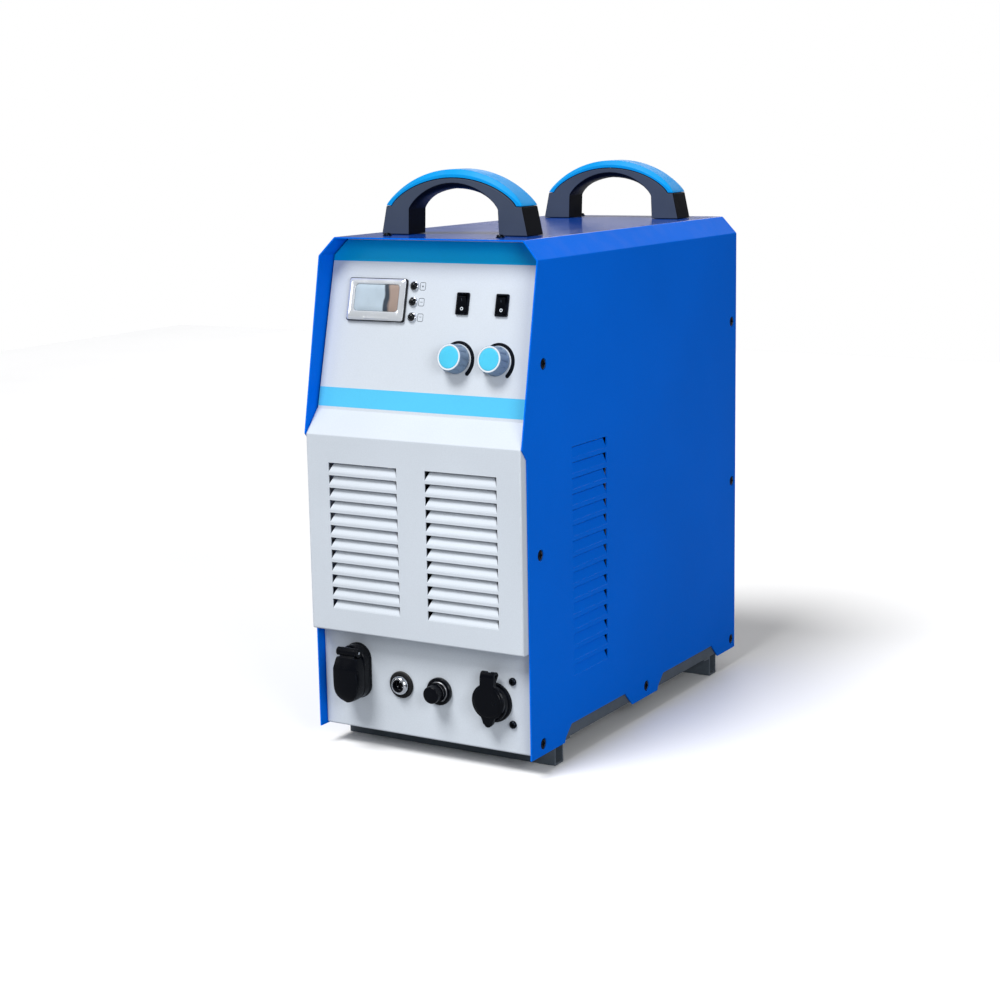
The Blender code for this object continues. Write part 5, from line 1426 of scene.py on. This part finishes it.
def make_rear_fittings():
    """The mains cable's gland, the air inlet's hose tail and the earth stud with its washer and nut."""
    below = [(8.0, 21.0), (8.0, -14), (11.6, -14), (11.6, GAP)]
    above = [(14.6, 6.0)] + repeated([(14.2, 7.4), (13.5, 8.2)], 5, 1.5)
    above += [(13.4, 15.6), (11.2, 19.8), (10.2, 21.0)]
    gland = hex_fitting(below, 31.0, (GAP, 5.4), above)
    make("gland_body", gland, at(REAR, "cable_gland"), BLACK, "cable_gland", sharp=40)
    below = [(3.0, 24.0), (3.0, -12), (6.0, -12), (6.0, GAP)]
    above = [(5.4, 6.2), (5.4, 9.0)] + repeated([(6.4, 10.0), (5.2, 13.8)], 3, 4.4) + [(4.8, 24.0)]
    tail = hex_fitting(below, 16.4, (GAP, 5.2), above)
    make("air_hose_tail", tail, at(REAR, "air_inlet"), BRASS, "air_inlet", sharp=40)
    earth = at(REAR, "earth_terminal")
    stud = [(0, -9), (2.7, -9)] + threads(2.7, 0.3, -8.0, 11.2, 0.8) + [(2.3, 12.0), (0, 12.0)]
    make("earth_stud", turned(stud, 32), earth, ZINC, "earth_terminal", sharp=50)
    washer = turned([(2.8, GAP), (7.8, GAP), (8.0, 0.6), (8.0, 1.5), (7.7, 1.8), (2.8, 1.8)], 40, True)
    make("earth_washer", washer, earth, ZINC)
    nut = hex_fitting([(2.8, 6.8), (2.8, 1.9)], 10.0, (1.9, 6.3), [(4.7, 6.8)])
    make("earth_nut", nut, earth, ZINC, sharp=25)


def hex_loop(across, z, segments=48):
    """Points round a hexagon, one for each of the same angles as oval has."""
    points = []
    for i in range(segments):
        angle = math.tau * i / segments
        within = (math.degrees(angle) + 30) % 60 - 30
        points.append(polar(across / 2 / math.cos(math.radians(within)), angle, z))
    return points


# Studio ----------------------------------------------------------------------


def make_floor():
    """A wide pale floor, which bounces a little less light than it shows."""
    floor = block((-FLOOR_HALF, -FLOOR_HALF, -20), (FLOOR_HALF, FLOOR_HALF, -0.2))
    floor.transform(Matrix.Scale(MM, 4))
    mesh = mesh_of("floor", floor)
    made = Finish("floor", None, "FAFAFA", 0.5, specular=0.1)
    made.mottle(3, 0.01).relief(40, 0.05)
    seen = made.add("LightPath").outputs["Is Camera Ray"]
    made.blend(made.maths("SUBTRACT", 1.0, seen), srgb(FLOOR_BOUNCE))
    mesh.materials.append(made.done()[0])
    linked("floor", mesh)


def aim(obj, direction):
    """Points a light along a direction."""
    obj.rotation_mode = "QUATERNION"
    obj.rotation_quaternion = direction.to_track_quat("-Z", "Y")


def make_light(name, place, size, power, colour):
    """A rectangular light that faces the object."""
    light = bpy.data.lights.new(name, "AREA")
    light.shape = "RECTANGLE"
    light.size, light.size_y = size
    light.energy = power
    light.color = colour
    made = linked(name, light)
    made.visible_camera = False
    made.location = place
    aim(made, Vector(LIGHT_TARGET) - Vector(place))


def make_studio():
    """Plain white surroundings, soft light from above, and lights in front, on the right and behind."""
    make_floor()
    world = bpy.data.worlds.new("studio")
    world.use_nodes = True
    bpy.context.scene.world = world
    links, world_nodes = world.node_tree.links, world.node_tree.nodes
    ambient = world_nodes["Background"]
    ambient.inputs["Color"].default_value = (0.93, 0.96, 1.0, 1.0)
    ambient.inputs["Strength"].default_value = AMBIENT
    backdrop = world_nodes.new("ShaderNodeBackground")
    backdrop.inputs["Color"].default_value = (1, 1, 1, 1)
    backdrop.inputs["Strength"].default_value = 1.0
    chosen = world_nodes.new("ShaderNodeMixShader")
    links.new(world_nodes.new("ShaderNodeLightPath").outputs["Is Camera Ray"], chosen.inputs[0])
    links.new(ambient.outputs[0], chosen.inputs[1])
    links.new(backdrop.outputs[0], chosen.inputs[2])
    links.new(chosen.outputs[0], world_nodes["World Output"].inputs["Surface"])
    for light in LIGHTS:
        make_light(*light)
    overhead = bpy.data.lights.new("overhead", "SUN")
    overhead.energy = OVERHEAD_STRENGTH
    overhead.angle = math.radians(OVERHEAD_SPREAD)
    aim(linked("overhead", overhead), -Vector(OVERHEAD_FROM))


def make_camera():
    """The camera turned by yaw about the vertical, pitched down, and rolled about its own line of sight."""
    data = bpy.data.cameras.new("camera")
    data.lens = LENS_MM
    data.sensor_width = 36.0
    data.clip_start, data.clip_end = 0.01, 50.0
    camera = linked("camera", data)
    turned_camera = turn(CAMERA_YAW, "Z") @ turn(90 - CAMERA_PITCH, "X") @ turn(CAMERA_ROLL, "Z")
    camera.matrix_world = Matrix.Translation(CAMERA_PLACE) @ turned_camera
    bpy.context.scene.camera = camera


make_camera()
finish_cad_nodes()
make_cover()
make_front_panel()
make_banners()
make_fasteners()
for end in ("front", "rear"):
    make_handle(end)
make_meter()
make_display_board()
make_indicators()
for kind in ("mode", "test"):
    make_switch(kind)
for kind in ("current", "time"):
    make_knob(kind)
make_torch_socket()
make_earth_socket()
make_control_socket()
make_regulator()
make_fan()
make_breaker()
make_rear_fittings()
make_studio()
bpy.context.scene.view_settings.view_transform = "Standard"
